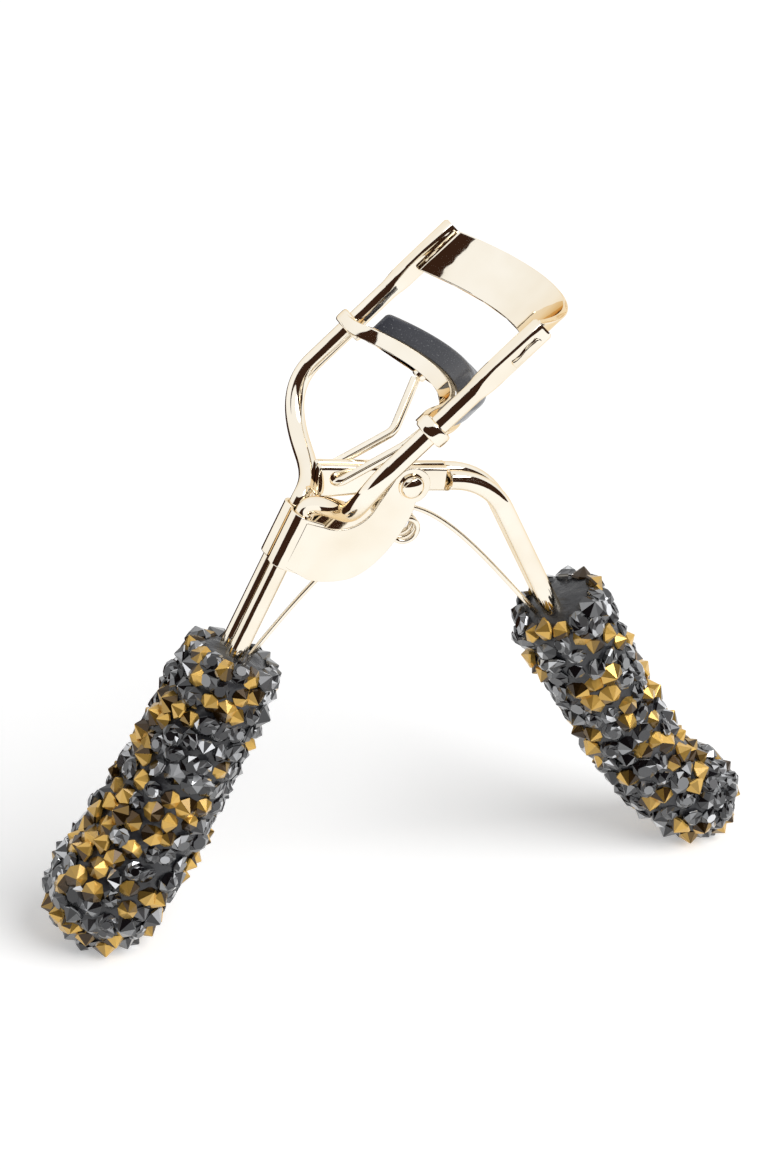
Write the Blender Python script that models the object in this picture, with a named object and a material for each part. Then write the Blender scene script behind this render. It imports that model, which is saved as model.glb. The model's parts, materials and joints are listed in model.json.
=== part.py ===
"""Eyelash curler with a bent-wire frame, a sliding lower jaw and two stone-set grips, standing open."""

import math

import bmesh
import bpy
from mathutils import Matrix, Vector
from mathutils.geometry import interpolate_bezier

# Sizes are in metres.
# Points named with two numbers are X and Z from the pivot, in the plane between the wires.

# Standing place: height of the pivot above the floor, and the foot of each grip along X
PIVOT_X = 0.00035
PIVOT_HEIGHT = 0.0593
FIXED_FOOT_X = -0.0393
MOVING_FOOT_X = 0.0401
FOOT_DEPTH = 0.0005

# Wire stock and fits
ROD_DIAMETER = 0.0024
ROD_GAP = 0.0002
LINK_DIAMETER = 0.0012
SPRING_WIRE = 0.00065
FIT_GAP = 0.00015
RUNNING_GAP = 0.0001
SLIDE_GAP = 0.00025

# Head: wires at HEAD_ANGLE to the floor, HEAD_SETBACK behind the pivot
HEAD_ANGLE = math.radians(40.2)
HEAD_WIDTH = 0.0313
HEAD_SETBACK = 0.01145
HEAD_LENGTH = 0.0250
SHOULDER_LENGTH = 0.0010
BLADE_LENGTH = 0.0072
BLADE_TAPER = 0.0020
BLADE_WIDTH = 0.0028
BLADE_THICKNESS = 0.0020
CAGE_POINT = (-0.01065, 0.00075)
CAGE_REACH = 0.0080
CAGE_SLOPE = (0.116, 0.349, 0.930)

# Jaws: one curve for both, leaning forward by JAW_LEAN for each unit that it bows out
JAW_BOW = 0.0066
JAW_LEAN = 0.58
TAB_BOW = 0.0004
JAW_SHEET = 0.0008
STRIP_HEIGHT = 0.0066
STRIP_FLAT = 0.0005
TAB_MARGIN = 0.0009
TAB_PROUD = 0.0003
LOWER_JAW_HEIGHT = 0.0073
LOWER_SHEET = 0.0006
WALL_HEIGHT = 0.0019
WALL_END = 0.0040
PAD_WIDTH = 0.0026
PAD_HEIGHT = 0.0031
PAD_ROUND = 0.0008
PAD_END = 0.0026
FLOOR_END = 0.0028
EYE_WALL = 0.0006
EYE_HEIGHT = 0.0018
EYE_DROP = 0.0007
BOSS_SPREAD = 0.0054
BOSS_BOW = 0.0058
BOSS_RADIUS = 0.00095
BOSS_HEIGHT = 0.0007

# Fixed handle and its bracket
SLEEVE_TOP = (-0.01345, -0.0023)
HANDLE_ANGLE = math.radians(22.4)
SLEEVE_DROP = 0.0006
SLEEVE_LENGTH = 0.0067
SLEEVE_WALL = 0.0005
CHEEK_SHEET = 0.0004
CHEEK_GAP = 0.00015
BOSS_PLATE_RADIUS = 0.0024
CHEEK_SLOPE = ((0.0002, -0.0046), (-0.0044, -0.0115))
CHEEK_CENTRE = (-0.0091, -0.0003)
CHEEK_RADIUS = 0.0112
DIP_CENTRE = (-0.0086, 0.0003)
DIP_RADIUS = 0.0048

# Pivot stack
RIVET_RADIUS = 0.0009
RIVET_HEAD_RADIUS = 0.0015
RIVET_HEAD_HEIGHT = 0.0011
SPACER_RADIUS = 0.0017

# Lever: one straight line from the link hole through the pivot to the elbow, then the handle
LINK_HOLE = (-0.0092, 0.0014)
FLAT_HALF_HEIGHT = 0.00155
FLAT_REACH = 0.0021
FLAT_DROP = 0.0024
FLAT_THICKNESS = 0.0011
FLAT_LENGTH = 0.0054
ELBOW_LENGTH = 0.0108
ELBOW_RADIUS = 0.0085
LEVER_HANDLE_ANGLE = math.radians(23.8)

# Link
LINK_KNEE = (-0.0006, 0.0051)
LINK_KNEE_RADIUS = 0.0022
LINK_HOOK_RADIUS = 0.0010
LINK_TIP_GAP = 0.0005

# Return spring
COIL_CENTRE = (-0.0004, -0.0067)
COIL_RADIUS = 0.0017
COIL_TURNS = 3
COIL_GAP = 0.0005
LEG_BULGE = 0.0064
LEG_RUN = 0.0080
LEG_ANGLE = math.radians(49)
FIXED_LEG_END = (-0.0200, -0.0172)
MOVING_LEG_END = (0.0190, -0.0182)

# Grips
GRIP_TOP_DROP = 0.0214
FIXED_GRIP_SHIFT = 0.0005
MOVING_GRIP_SHIFT = 0.0009
GRIP_ANGLE = math.radians(26.5)
FIXED_END_ANGLE = math.radians(40)
MOVING_END_ANGLE = math.radians(60)
GRIP_STRAIGHT = 0.0165
GRIP_TURN = 0.0080
CORE_RADIUS = 0.0046
FIXED_JACKET_WALLS = (0.0018, 0.0026, 0.0032)
MOVING_JACKET_WALLS = (0.0020, 0.0013, 0.0017)
ROD_DEPTH = 0.0140

# Stones: the crust is laid out in cells, each raised to a point
STONE_WIDTH = 0.0026
STONE_HEIGHT = 0.0011
STONE_SUNK = 0.0007
STONE_WANDER = 0.0003
RIM_ROUND = 0.0012
CAP_ROWS = 4
CAP_REACH = math.radians(75)

# Facets
CURVE_STEPS = 10
GRIP_STEPS = 48
JAW_STEPS = 20
ROUND_SIDES = 24
CURL_POINTS = 10

# Sizes that follow from those above
PIVOT = Vector((PIVOT_X, 0.0, PIVOT_HEIGHT))
ROD_RADIUS = ROD_DIAMETER / 2
LINK_RADIUS = LINK_DIAMETER / 2
ROD_SIDE = (ROD_DIAMETER + ROD_GAP) / 2
HALF_HEAD = HEAD_WIDTH / 2
CHEEK_INNER = ROD_SIDE + ROD_RADIUS + CHEEK_GAP
CHEEK_OUTER = CHEEK_INNER + CHEEK_SHEET
FLAT_OUTER = FIT_GAP + FLAT_THICKNESS
LINK_SIDE = FLAT_OUTER + FIT_GAP + LINK_RADIUS
STRIP_FOOT = HEAD_LENGTH - STRIP_HEIGHT
JAW_HALF = HALF_HEAD - BLADE_THICKNESS / 2 - FIT_GAP - STRIP_FLAT
JAW_RADIUS = (JAW_HALF**2 + JAW_BOW**2) / (2 * JAW_BOW)
WALL_RADIUS = JAW_RADIUS - PAD_WIDTH / 2 - FIT_GAP - LOWER_SHEET / 2
EYE_BORE = ROD_RADIUS + SLIDE_GAP
EYE_RADIUS = EYE_BORE + EYE_WALL
COIL_PITCH = SPRING_WIRE + COIL_GAP
HANDLE_WAY = Vector((-math.sin(HANDLE_ANGLE), 0.0, -math.cos(HANDLE_ANGLE)))
LEVER_WAY = Vector((math.sin(LEVER_HANDLE_ANGLE), 0.0, -math.cos(LEVER_HANDLE_ANGLE)))
HEAD_WAY = Vector((math.cos(HEAD_ANGLE), 0.0, math.sin(HEAD_ANGLE)))
BOW_WAY = Vector((math.sin(HEAD_ANGLE), 0.0, -math.cos(HEAD_ANGLE)))


# Frames of reference


def plane(point, y=0.0):
    """A point of the middle plane, given from the pivot, moved sideways by y."""
    return PIVOT + Vector((point[0], y, point[1]))


def head(along, bow, y):
    """A point of the head: along the wires, bowed out from their plane, and sideways."""
    return PIVOT + HEAD_WAY * along + BOW_WAY * (bow - HEAD_SETBACK) + Vector((0.0, y, 0.0))


def head_matrix(along, lean=0.0):
    """Maps X to the side, Y to the bow and Z along the wires, with the lean of the jaws if given."""
    side = Vector((0.0, 1.0, 0.0))
    bow = BOW_WAY + HEAD_WAY * lean
    turn = Matrix((side, bow, HEAD_WAY)).transposed().to_4x4()
    return Matrix.Translation(head(along, 0.0, 0.0)) @ turn


# Modelling helpers


def finish_mesh(name, bm):
    """Turns a bmesh into an object, with doubles merged and faces outwards."""
    bmesh.ops.remove_doubles(bm, verts=bm.verts, dist=1e-7)
    bmesh.ops.recalc_face_normals(bm, faces=bm.faces)
    mesh = bpy.data.meshes.new(name)
    bm.to_mesh(mesh)
    bm.free()
    piece = bpy.data.objects.new(name, mesh)
    bpy.context.scene.collection.objects.link(piece)
    return piece


def prism(name, outline, low, high, matrix):
    """A flat outline in X and Y, raised from low to high along Z and placed by a matrix."""
    bm = bmesh.new()
    face = bm.faces.new([bm.verts.new((x, y, low)) for x, y in outline])
    raised = bmesh.ops.extrude_face_region(bm, geom=[face])
    top = [v for v in raised["geom"] if isinstance(v, bmesh.types.BMVert)]
    bmesh.ops.translate(bm, verts=top, vec=(0.0, 0.0, high - low))
    bmesh.ops.transform(bm, matrix=matrix, verts=bm.verts)
    return finish_mesh(name, bm)


def plate(name, outline, inner, outer):
    """An outline in the middle plane, as a plate between two distances along Y."""
    upright = Matrix(((1, 0, 0, PIVOT.x), (0, 0, 1, 0), (0, 1, 0, PIVOT.z), (0, 0, 0, 1)))
    return prism(name, outline, min(inner, outer), max(inner, outer), upright)


def disc(name, centre, radius, low, high):
    """A round plate or pin across the middle plane."""
    return plate(name, arc(centre, radius, 0, 360, ROUND_SIDES, closed=True), low, high)


def tube(name, points, radii, resolution):
    """A round bar along points, as a mesh with closed ends."""
    curve = bpy.data.curves.new(name, "CURVE")
    curve.dimensions = "3D"
    curve.bevel_depth = 1.0
    curve.bevel_resolution = resolution
    curve.use_fill_caps = True
    spline = curve.splines.new("POLY")
    spline.points.add(len(points) - 1)
    for spot, point, radius in zip(spline.points, points, radii):
        spot.co = (*point, 1.0)
        spot.radius = radius
    guide = bpy.data.objects.new(name, curve)
    bpy.context.scene.collection.objects.link(guide)
    mesh = bpy.data.meshes.new_from_object(guide.evaluated_get(bpy.context.evaluated_depsgraph_get()))
    bpy.data.objects.remove(guide)
    bm = bmesh.new()
    bm.from_mesh(mesh)
    return finish_mesh(name, bm)


def round_bar(name, points, diameter, resolution=4):
    return tube(name, points, [diameter / 2] * len(points), resolution)


def combine(piece, other, operation):
    """Joins or cuts a piece with another object, which is used up."""
    change = piece.modifiers.new(operation, "BOOLEAN")
    change.object = other
    change.operation = operation
    change.solver = "EXACT"
    mesh = bpy.data.meshes.new_from_object(piece.evaluated_get(bpy.context.evaluated_depsgraph_get()))
    piece.modifiers.clear()
    piece.data = mesh
    bpy.data.objects.remove(other)
    return piece


def join(piece, other):
    return combine(piece, other, "UNION")


def cut(piece, other):
    return combine(piece, other, "DIFFERENCE")


def arc(centre, radius, start, end, steps, closed=False):
    """Points on a circle between two angles in degrees."""
    count = steps if closed else steps + 1
    angles = [math.radians(start + (end - start) * i / steps) for i in range(count)]
    return [(centre[0] + radius * math.cos(a), centre[1] + radius * math.sin(a)) for a in angles]


def bezier(first, first_way, last, last_way, steps=CURVE_STEPS):
    """Points of a smooth bend between two places, leaving and arriving along the given ways."""
    return interpolate_bezier(first, first + first_way, last - last_way, last, steps)


def rounded(corners, radii):
    """A path of straight runs whose inner corners are replaced by arcs of the given radii."""
    path = [corners[0]]
    for before, corner, after, radius in zip(corners, corners[1:], corners[2:], radii):
        back = (before - corner).normalized()
        on = (after - corner).normalized()
        half = back.angle(on) / 2
        reach = radius / math.tan(half)
        centre = corner + (back + on).normalized() * radius / math.sin(half)
        first = corner + back * reach - centre
        turn = math.pi - 2 * half
        axis = on.cross(back)
        steps = max(3, round(math.degrees(turn) / 15))
        path += [centre + Matrix.Rotation(turn * i / steps, 3, axis) @ first for i in range(steps + 1)]
    return path + [corners[-1]]


def band(centre_line, thickness):
    """The outline of a strip of even thickness along a line in X and Y."""
    line = [Vector(p) for p in centre_line]
    ways = [(b - a).normalized() for a, b in zip(line, line[1:])]
    left = []
    right = []
    for i, point in enumerate(line):
        before = ways[max(i - 1, 0)]
        after = ways[min(i, len(ways) - 1)]
        normal = Vector((-before.y - after.y, before.x + after.x)).normalized()
        offset = normal * thickness / 2 / normal.dot(Vector((-after.y, after.x)))
        left.append(tuple(point + offset))
        right.append(tuple(point - offset))
    return left + right[::-1]


def jaw_arc(radius, half):
    """A line along a jaw: round the jaws' common centre, out to half on each side."""
    reach = math.degrees(math.asin(half / radius))
    return arc((0.0, TAB_BOW + JAW_BOW - JAW_RADIUS), radius, 90 + reach, 90 - reach, JAW_STEPS)


def shade(piece, colour, roughness, metallic):
    """Gives a piece its own material and smooth shading with sharp edges kept."""
    material = bpy.data.materials.new(piece.name)
    material.use_nodes = True
    surface = material.node_tree.nodes["Principled BSDF"]
    surface.inputs["Base Color"].default_value = (*colour, 1.0)
    surface.inputs["Roughness"].default_value = roughness
    surface.inputs["Metallic"].default_value = metallic
    piece.data.materials.clear()
    piece.data.materials.append(material)
    piece.data.shade_smooth()
    piece.data.set_sharp_from_angle(angle=math.radians(40))


def gild(piece):
    shade(piece, (0.88, 0.78, 0.60), 0.06, 1.0)


def hang(piece, axis):
    """Puts a piece's origin on the empty that marks its joint, and parents it there."""
    piece.data.transform(Matrix.Translation(-axis.location))
    piece.parent = axis


def marker(name, place):
    empty = bpy.data.objects.new(name, None)
    empty.location = place
    empty.empty_display_size = ROD_DIAMETER
    bpy.context.scene.collection.objects.link(empty)
    return empty


# Paths shared by several pieces


def fixed_rod_path(side):
    """Handle, bend into the cage, bend up to the shoulder, and the straight head."""
    top = plane(SLEEVE_TOP, side * ROD_SIDE)
    foot = top + HANDLE_WAY * (handle_length() + ROD_DEPTH)
    middle = plane(CAGE_POINT, side * CAGE_REACH)
    slope = Vector((CAGE_SLOPE[0], side * CAGE_SLOPE[2], CAGE_SLOPE[1])).normalized()
    shoulder = head(SHOULDER_LENGTH, 0.0, side * HALF_HEAD)
    spread = CAGE_REACH - ROD_SIDE
    rise = HALF_HEAD - CAGE_REACH
    lower = bezier(top, -HANDLE_WAY * spread * 0.28, middle, slope * spread * 0.66)
    upper = bezier(middle, slope * rise * 0.64, shoulder, HEAD_WAY * rise * 0.64)
    blade = HEAD_LENGTH - BLADE_LENGTH
    marks = [blade - BLADE_TAPER, blade - BLADE_TAPER / 2, blade, HEAD_LENGTH]
    return [foot] + lower + upper[1:] + [head(mark, 0.0, side * HALF_HEAD) for mark in marks]


def handle_length():
    """From the sleeve's top to the top of the fixed grip."""
    return (GRIP_TOP_DROP + SLEEVE_TOP[1]) / math.cos(HANDLE_ANGLE)


def lever_way():
    return Vector((-LINK_HOLE[0], 0.0, -LINK_HOLE[1])).normalized()


def elbow():
    return PIVOT + lever_way() * ELBOW_LENGTH


def lever_drop():
    """From the elbow to the top of the moving grip."""
    return (GRIP_TOP_DROP + elbow().z - PIVOT.z) / math.cos(LEVER_HANDLE_ANGLE)


def moving_rod_path(side, start):
    y = Vector((0.0, side * ROD_SIDE, 0.0))
    corners = [PIVOT + lever_way() * start, elbow(), elbow() + LEVER_WAY * (lever_drop() + ROD_DEPTH)]
    return rounded([corner + y for corner in corners], [ELBOW_RADIUS])


def grip_axis(top, side, end_angle, walls, foot_x, steps):
    """The middle line of a grip: straight at first, then turned out to its foot."""
    radius = CORE_RADIUS + FIT_GAP + walls[2]
    way = Vector((side * math.sin(GRIP_ANGLE), 0.0, -math.cos(GRIP_ANGLE)))
    end_way = Vector((side * math.sin(end_angle), 0.0, -math.cos(end_angle)))
    foot = Vector((PIVOT.x + foot_x, 0.0, radius - FOOT_DEPTH))
    return bezier(top, way * GRIP_STRAIGHT, foot, end_way * GRIP_TURN, steps)


def fixed_grip_axis(steps=CURVE_STEPS):
    start = plane(SLEEVE_TOP) + HANDLE_WAY * handle_length()
    out = Vector((-math.cos(HANDLE_ANGLE), 0.0, math.sin(HANDLE_ANGLE)))
    top = start + out * FIXED_GRIP_SHIFT
    return grip_axis(top, -1, FIXED_END_ANGLE, FIXED_JACKET_WALLS, FIXED_FOOT_X, steps)


def moving_grip_axis(steps=CURVE_STEPS):
    start = elbow() + LEVER_WAY * lever_drop()
    out = Vector((math.cos(LEVER_HANDLE_ANGLE), 0.0, math.sin(LEVER_HANDLE_ANGLE)))
    top = start + out * MOVING_GRIP_SHIFT
    return grip_axis(top, 1, MOVING_END_ANGLE, MOVING_JACKET_WALLS, MOVING_FOOT_X, steps)


def spring_leg(side):
    """One leg, from the top of the coil to its end in a grip."""
    y = side * COIL_TURNS * COIL_PITCH / 2
    top = plane((COIL_CENTRE[0], COIL_CENTRE[1] + COIL_RADIUS), y)
    leg_end = FIXED_LEG_END if side < 0 else MOVING_LEG_END
    end = plane((COIL_CENTRE[0] + leg_end[0], COIL_CENTRE[1] + COIL_RADIUS + leg_end[1]))
    way = Vector((side * math.cos(LEG_ANGLE), 0.0, -math.sin(LEG_ANGLE)))
    bend = bezier(top, Vector((side * LEG_BULGE, 0.0, 0.0)), end, way * LEG_RUN)
    return bend + [end + way * SPRING_WIRE]


def spring_path():
    """Left leg, coil and right leg, in one unbroken line."""
    coil = []
    for i in range(1, COIL_TURNS * CURL_POINTS):
        turn = i / CURL_POINTS
        angle = math.pi / 2 - 2 * math.pi * turn
        x = COIL_CENTRE[0] + COIL_RADIUS * math.cos(angle)
        z = COIL_CENTRE[1] + COIL_RADIUS * math.sin(angle)
        coil.append(plane((x, z), (turn - COIL_TURNS / 2) * COIL_PITCH))
    return spring_leg(-1)[::-1] + coil + spring_leg(1)


def least_self_gap(path, diameter):
    """The least clear distance between parts of a bar that lie more than half a curl apart along it."""
    apart = CURL_POINTS // 2 + 1
    gaps = [(a - b).length for i, a in enumerate(path) for b in path[i + apart :]]
    return min(gaps) - diameter


# Fixed frame


def frame_rod(name, side):
    """A bent wire whose end is flattened into a blade with a slot for the upper jaw's tab."""
    rod = round_bar(name, fixed_rod_path(side), ROD_DIAMETER)
    to_head = head_matrix(0.0).inverted()
    from_head = head_matrix(0.0)
    blade = HEAD_LENGTH - BLADE_LENGTH
    for vertex in rod.data.vertices:
        place = to_head @ vertex.co
        share = min(max((place.z - blade + BLADE_TAPER) / BLADE_TAPER, 0.0), 1.0)
        if share > 0.0:
            place.y *= 1.0 + share * (BLADE_WIDTH / ROD_DIAMETER - 1.0)
            thin = 1.0 + share * (BLADE_THICKNESS / ROD_DIAMETER - 1.0)
            place.x = side * HALF_HEAD + (place.x - side * HALF_HEAD) * thin
            vertex.co = from_head @ place
    half = JAW_SHEET / 2 + FIT_GAP
    reach = BLADE_THICKNESS
    middle = side * HALF_HEAD
    outline = band([(middle - reach, TAB_BOW), (middle + reach, TAB_BOW)], 2 * half)
    low = TAB_MARGIN - FIT_GAP
    high = STRIP_HEIGHT - TAB_MARGIN + FIT_GAP
    cut(rod, prism("slot", outline, low, high, head_matrix(STRIP_FOOT)))
    gild(rod)


def upper_jaw():
    """A curved strip with a flat at each end and a narrower tab through each blade."""
    flat = JAW_HALF + STRIP_FLAT
    line = [(-flat, TAB_BOW)] + jaw_arc(JAW_RADIUS, JAW_HALF) + [(flat, TAB_BOW)]
    leaning = head_matrix(STRIP_FOOT, JAW_LEAN)
    strip = prism("upper_jaw", band(line, JAW_SHEET), 0.0, STRIP_HEIGHT, leaning)
    tip = HALF_HEAD + BLADE_THICKNESS / 2 + TAB_PROUD
    for side in (-1, 1):
        line = [(side * (JAW_HALF + STRIP_FLAT / 2), TAB_BOW), (side * tip, TAB_BOW)]
        tab = band(line, JAW_SHEET - RUNNING_GAP / 4)
        join(strip, prism("tab", tab, TAB_MARGIN, STRIP_HEIGHT - TAB_MARGIN, head_matrix(STRIP_FOOT)))
    gild(strip)


def sleeve_outline(radius):
    """Round both wires, in the plane across the handle."""
    near = arc((-ROD_SIDE, 0.0), radius, 90, 270, ROUND_SIDES // 2)
    far = arc((ROD_SIDE, 0.0), radius, -90, 90, ROUND_SIDES // 2)
    return near + far


def cheek_outline():
    """From the sleeve under the cage to the round boss at the pivot, and back along the lower edge."""
    top = Vector(SLEEVE_TOP)
    down = Vector((HANDLE_WAY.x, HANDLE_WAY.z))
    first = top + down * (SLEEVE_DROP + CHEEK_SHEET)
    last = top + down * (SLEEVE_DROP + SLEEVE_LENGTH - CHEEK_SHEET)
    dip = arc(DIP_CENTRE, DIP_RADIUS, 240, 330, CURVE_STEPS)
    boss = arc((0.0, 0.0), BOSS_PLATE_RADIUS, 140, -78, CURVE_STEPS)
    belly = arc(CHEEK_CENTRE, CHEEK_RADIUS, -88, -112, CURVE_STEPS)
    corners = [Vector(point).to_3d() for point in (boss[-1], *CHEEK_SLOPE, belly[0])]
    slope = [tuple(point.to_2d()) for point in interpolate_bezier(*corners, CURVE_STEPS)[1:-1]]
    return [tuple(first)] + dip + boss + slope + belly + [tuple(last)]


def hinge_bracket():
    """Two cheek plates and the sleeve that holds both wires."""
    side_way = Vector((0.0, 1.0, 0.0))
    across = Matrix((side_way, HANDLE_WAY.cross(side_way), HANDLE_WAY)).transposed().to_4x4()
    along = Matrix.Translation(plane(SLEEVE_TOP) + HANDLE_WAY * SLEEVE_DROP) @ across
    wrap = ROD_RADIUS + RUNNING_GAP
    spare = ROD_DIAMETER
    bracket = prism("hinge_bracket", sleeve_outline(wrap + SLEEVE_WALL), 0.0, SLEEVE_LENGTH, along)
    for side in (-1, 1):
        join(bracket, plate("cheek", cheek_outline(), side * CHEEK_INNER, side * CHEEK_OUTER))
    cut(bracket, prism("wires", sleeve_outline(wrap), -spare, SLEEVE_LENGTH + spare, along))
    hole = RIVET_RADIUS + RUNNING_GAP
    cut(bracket, disc("hole", (0.0, 0.0), hole, -2 * CHEEK_OUTER, 2 * CHEEK_OUTER))
    gild(bracket)


def pivot_rivet():
    """A shank across the pivot with a domed head on each end."""
    seat = CHEEK_OUTER + FIT_GAP
    dome = RIVET_HEAD_HEIGHT
    steps = CURVE_STEPS // 2
    curve = [math.pi / 2 * i / steps for i in range(1, steps + 1)]
    near = [(RIVET_HEAD_RADIUS * math.sin(a), -seat - dome * math.cos(a)) for a in curve]
    far = [(radius, -y) for radius, y in near[::-1]]
    shank = [(RIVET_RADIUS, -seat), (RIVET_RADIUS, seat)]
    profile = [(0.0, -seat - dome)] + near + shank + far + [(0.0, seat + dome)]
    bm = bmesh.new()
    verts = [bm.verts.new((radius, y, 0.0)) for radius, y in profile]
    edges = [bm.edges.new(pair) for pair in zip(verts, verts[1:])]
    bmesh.ops.spin(
        bm,
        geom=verts + edges,
        cent=(0, 0, 0),
        axis=(0, 1, 0),
        angle=2 * math.pi,
        steps=ROUND_SIDES,
        use_merge=True,
    )
    bmesh.ops.translate(bm, verts=bm.verts, vec=PIVOT)
    gild(finish_mesh("pivot_rivet", bm))


def ring(name, radius, low, high):
    """A round piece on the rivet's shank."""
    piece = disc(name, (0.0, 0.0), radius, low, high)
    hole = RIVET_RADIUS + RUNNING_GAP
    cut(piece, disc("hole", (0.0, 0.0), hole, low - CHEEK_SHEET, high + CHEEK_SHEET))
    gild(piece)


def return_spring():
    path = spring_path()
    spring = round_bar("return_spring", path, SPRING_WIRE, 1)
    print(f"return_spring least gap to itself {least_self_gap(path, SPRING_WIRE) * 1000:.2f} mm")
    gild(spring)


# Grips


def grip_shape(name, axis, radii):
    """A bar along a grip's middle line, with a round end."""
    way = (axis[-1] - axis[-2]).normalized()
    cap = [math.pi / 2 * i / CURVE_STEPS for i in range(1, CURVE_STEPS)]
    points = axis + [axis[-1] + way * radii[-1] * math.sin(a) for a in cap]
    return tube(name, points, radii + [radii[-1] * math.cos(a) for a in cap], 8)


def swelling(walls, steps):
    """Wall thicknesses along a grip that pass through those at its top, middle and end."""
    top, middle, end = walls
    thicknesses = []
    for i in range(steps):
        t = i / (steps - 1)
        ends = top * (1 - t) * (1 - 2 * t) + end * t * (2 * t - 1)
        thicknesses.append(ends + middle * 4 * t * (1 - t))
    return thicknesses


def crust_levels(axis, walls):
    """Rings of the crust from its top to its end, as (centre, way, radius)."""
    radii = [CORE_RADIUS + FIT_GAP + wall - STONE_SUNK for wall in swelling(walls, len(axis))]
    ways = [(b - a).normalized() for a, b in zip(axis, axis[1:])]
    ways.append(ways[-1])
    run = [0.0]
    for a, b in zip(axis, axis[1:]):
        run.append(run[-1] + (b - a).length)
    rows = round((run[-1] - RIM_ROUND) / STONE_WIDTH)
    levels = [(axis[0], ways[0], radii[0] - RIM_ROUND)]
    for i in range(rows + 1):
        along = RIM_ROUND + (run[-1] - RIM_ROUND) * i / rows
        step = next((k for k in range(1, len(run)) if run[k] >= along), len(run) - 1)
        share = (along - run[step - 1]) / (run[step] - run[step - 1])
        way = ways[step - 1].lerp(ways[step], share).normalized()
        radius = radii[step - 1] + (radii[step] - radii[step - 1]) * share
        levels.append((axis[step - 1].lerp(axis[step], share), way, radius))
    for i in range(1, CAP_ROWS + 1):
        lean = CAP_REACH * i / CAP_ROWS
        centre = axis[-1] + ways[-1] * radii[-1] * math.sin(lean)
        levels.append((centre, ways[-1], radii[-1] * math.cos(lean)))
    return levels


def wander(row, column, salt):
    """A fixed irregular number between -1 and 1 for each corner of the cells."""
    return 2 * (math.sin(row * 12.9898 + column * 78.233 + salt) * 43758.5453 % 1.0) - 1


def crust(name, axis, walls, end_angle):
    """The body of a jacket: staggered cells round the grip, each raised to a point as a set stone."""
    levels = crust_levels(axis, walls)
    columns = 2 * round(math.pi * max(level[2] for level in levels) / STONE_WIDTH)
    foot_row = len(levels) - 1 - CAP_ROWS + int((math.pi / 2 - end_angle) / CAP_REACH * CAP_ROWS)
    side = Vector((0.0, 1.0, 0.0))
    bm = bmesh.new()
    rings = []
    for row, (centre, way, radius) in enumerate(levels):
        stride = 2 if row == len(levels) - 1 else 1
        free = 0.0 if row < 2 else STONE_WANDER
        down = way.cross(side) if way.cross(side).z < 0 else side.cross(way)
        ring = []
        for column in range(0, columns, stride):
            # Each row is half a cell on from the last, and a cell of the foot row is centred underneath
            place = column + (row - foot_row) / 2 + 1 / 4
            turn = 2 * math.pi * place / columns + wander(row, column, 1) * free / radius
            out = down * math.cos(turn) + side * math.sin(turn)
            ring.append(bm.verts.new(centre + out * radius + way * wander(row, column, 2) * free))
        rings.append(ring)
    cells = []
    for upper, lower in zip(rings, rings[1:]):
        stride = len(upper) // len(lower)
        for j in range(len(lower)):
            edge = [upper[(stride * j + k) % len(upper)] for k in range(stride + 1)]
            cells.append(bm.faces.new(edge + [lower[(j + 1) % len(lower)], lower[j]]))
    cells.append(bm.faces.new(rings[-1]))
    bm.faces.new(rings[0])
    bmesh.ops.recalc_face_normals(bm, faces=bm.faces)
    bmesh.ops.poke(bm, faces=cells, offset=STONE_HEIGHT, center_mode="MEAN")
    return finish_mesh(name, bm)


def grip(name, axis, fine_axis, walls, end_angle, rods, leg):
    """A core with sockets for the wires and the spring, and the crust round it, flat at its foot."""
    core = grip_shape(f"{name}_core", axis, [CORE_RADIUS] * len(axis))
    for rod in rods:
        cut(core, round_bar("socket", rod, ROD_DIAMETER + 2 * FIT_GAP))
    cut(core, round_bar("socket", leg, SPRING_WIRE + 2 * FIT_GAP, 1))
    shade(core, (0.045, 0.046, 0.052), 0.45, 0.0)
    hollow = CORE_RADIUS + FIT_GAP
    jacket = crust(f"{name}_jacket", fine_axis, walls, end_angle)
    above = (axis[0] - axis[1]).normalized() * CORE_RADIUS
    cut(jacket, grip_shape("hollow", [axis[0] + above] + axis, [hollow] * (len(axis) + 1)))
    bm = bmesh.new()
    bm.from_mesh(jacket.data)
    geom = bm.verts[:] + bm.edges[:] + bm.faces[:]
    floor = {"plane_co": (0, 0, 0), "plane_no": (0, 0, -1)}
    sliced = bmesh.ops.bisect_plane(bm, geom=geom, clear_outer=True, **floor)
    rim = [e for e in sliced["geom_cut"] if isinstance(e, bmesh.types.BMEdge)]
    bmesh.ops.edgeloop_fill(bm, edges=rim)
    bm.to_mesh(jacket.data)
    bm.free()
    shade(jacket, (0.14, 0.13, 0.12), 0.3, 0.2)
    return [core, jacket]


def lengthened(path, extra):
    """A path whose last run goes on by extra, so that its socket is deeper than the wire."""
    return path[:-1] + [path[-1] + (path[-1] - path[-2]).normalized() * extra]


def fixed_grip():
    rods = [lengthened(fixed_rod_path(side)[1::-1], FIT_GAP) for side in (-1, 1)]
    leg = lengthened(spring_leg(-1), FIT_GAP)
    fine_axis = fixed_grip_axis(GRIP_STEPS)
    grip("fixed_grip", fixed_grip_axis(), fine_axis, FIXED_JACKET_WALLS, FIXED_END_ANGLE, rods, leg)


def moving_grip():
    rods = [lengthened(moving_rod_path(side, FLAT_LENGTH), FIT_GAP) for side in (-1, 1)]
    leg = lengthened(spring_leg(1), FIT_GAP)
    fine_axis = moving_grip_axis(GRIP_STEPS)
    walls = MOVING_JACKET_WALLS
    return grip("moving_grip", moving_grip_axis(), fine_axis, walls, MOVING_END_ANGLE, rods, leg)


# Lever


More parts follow.
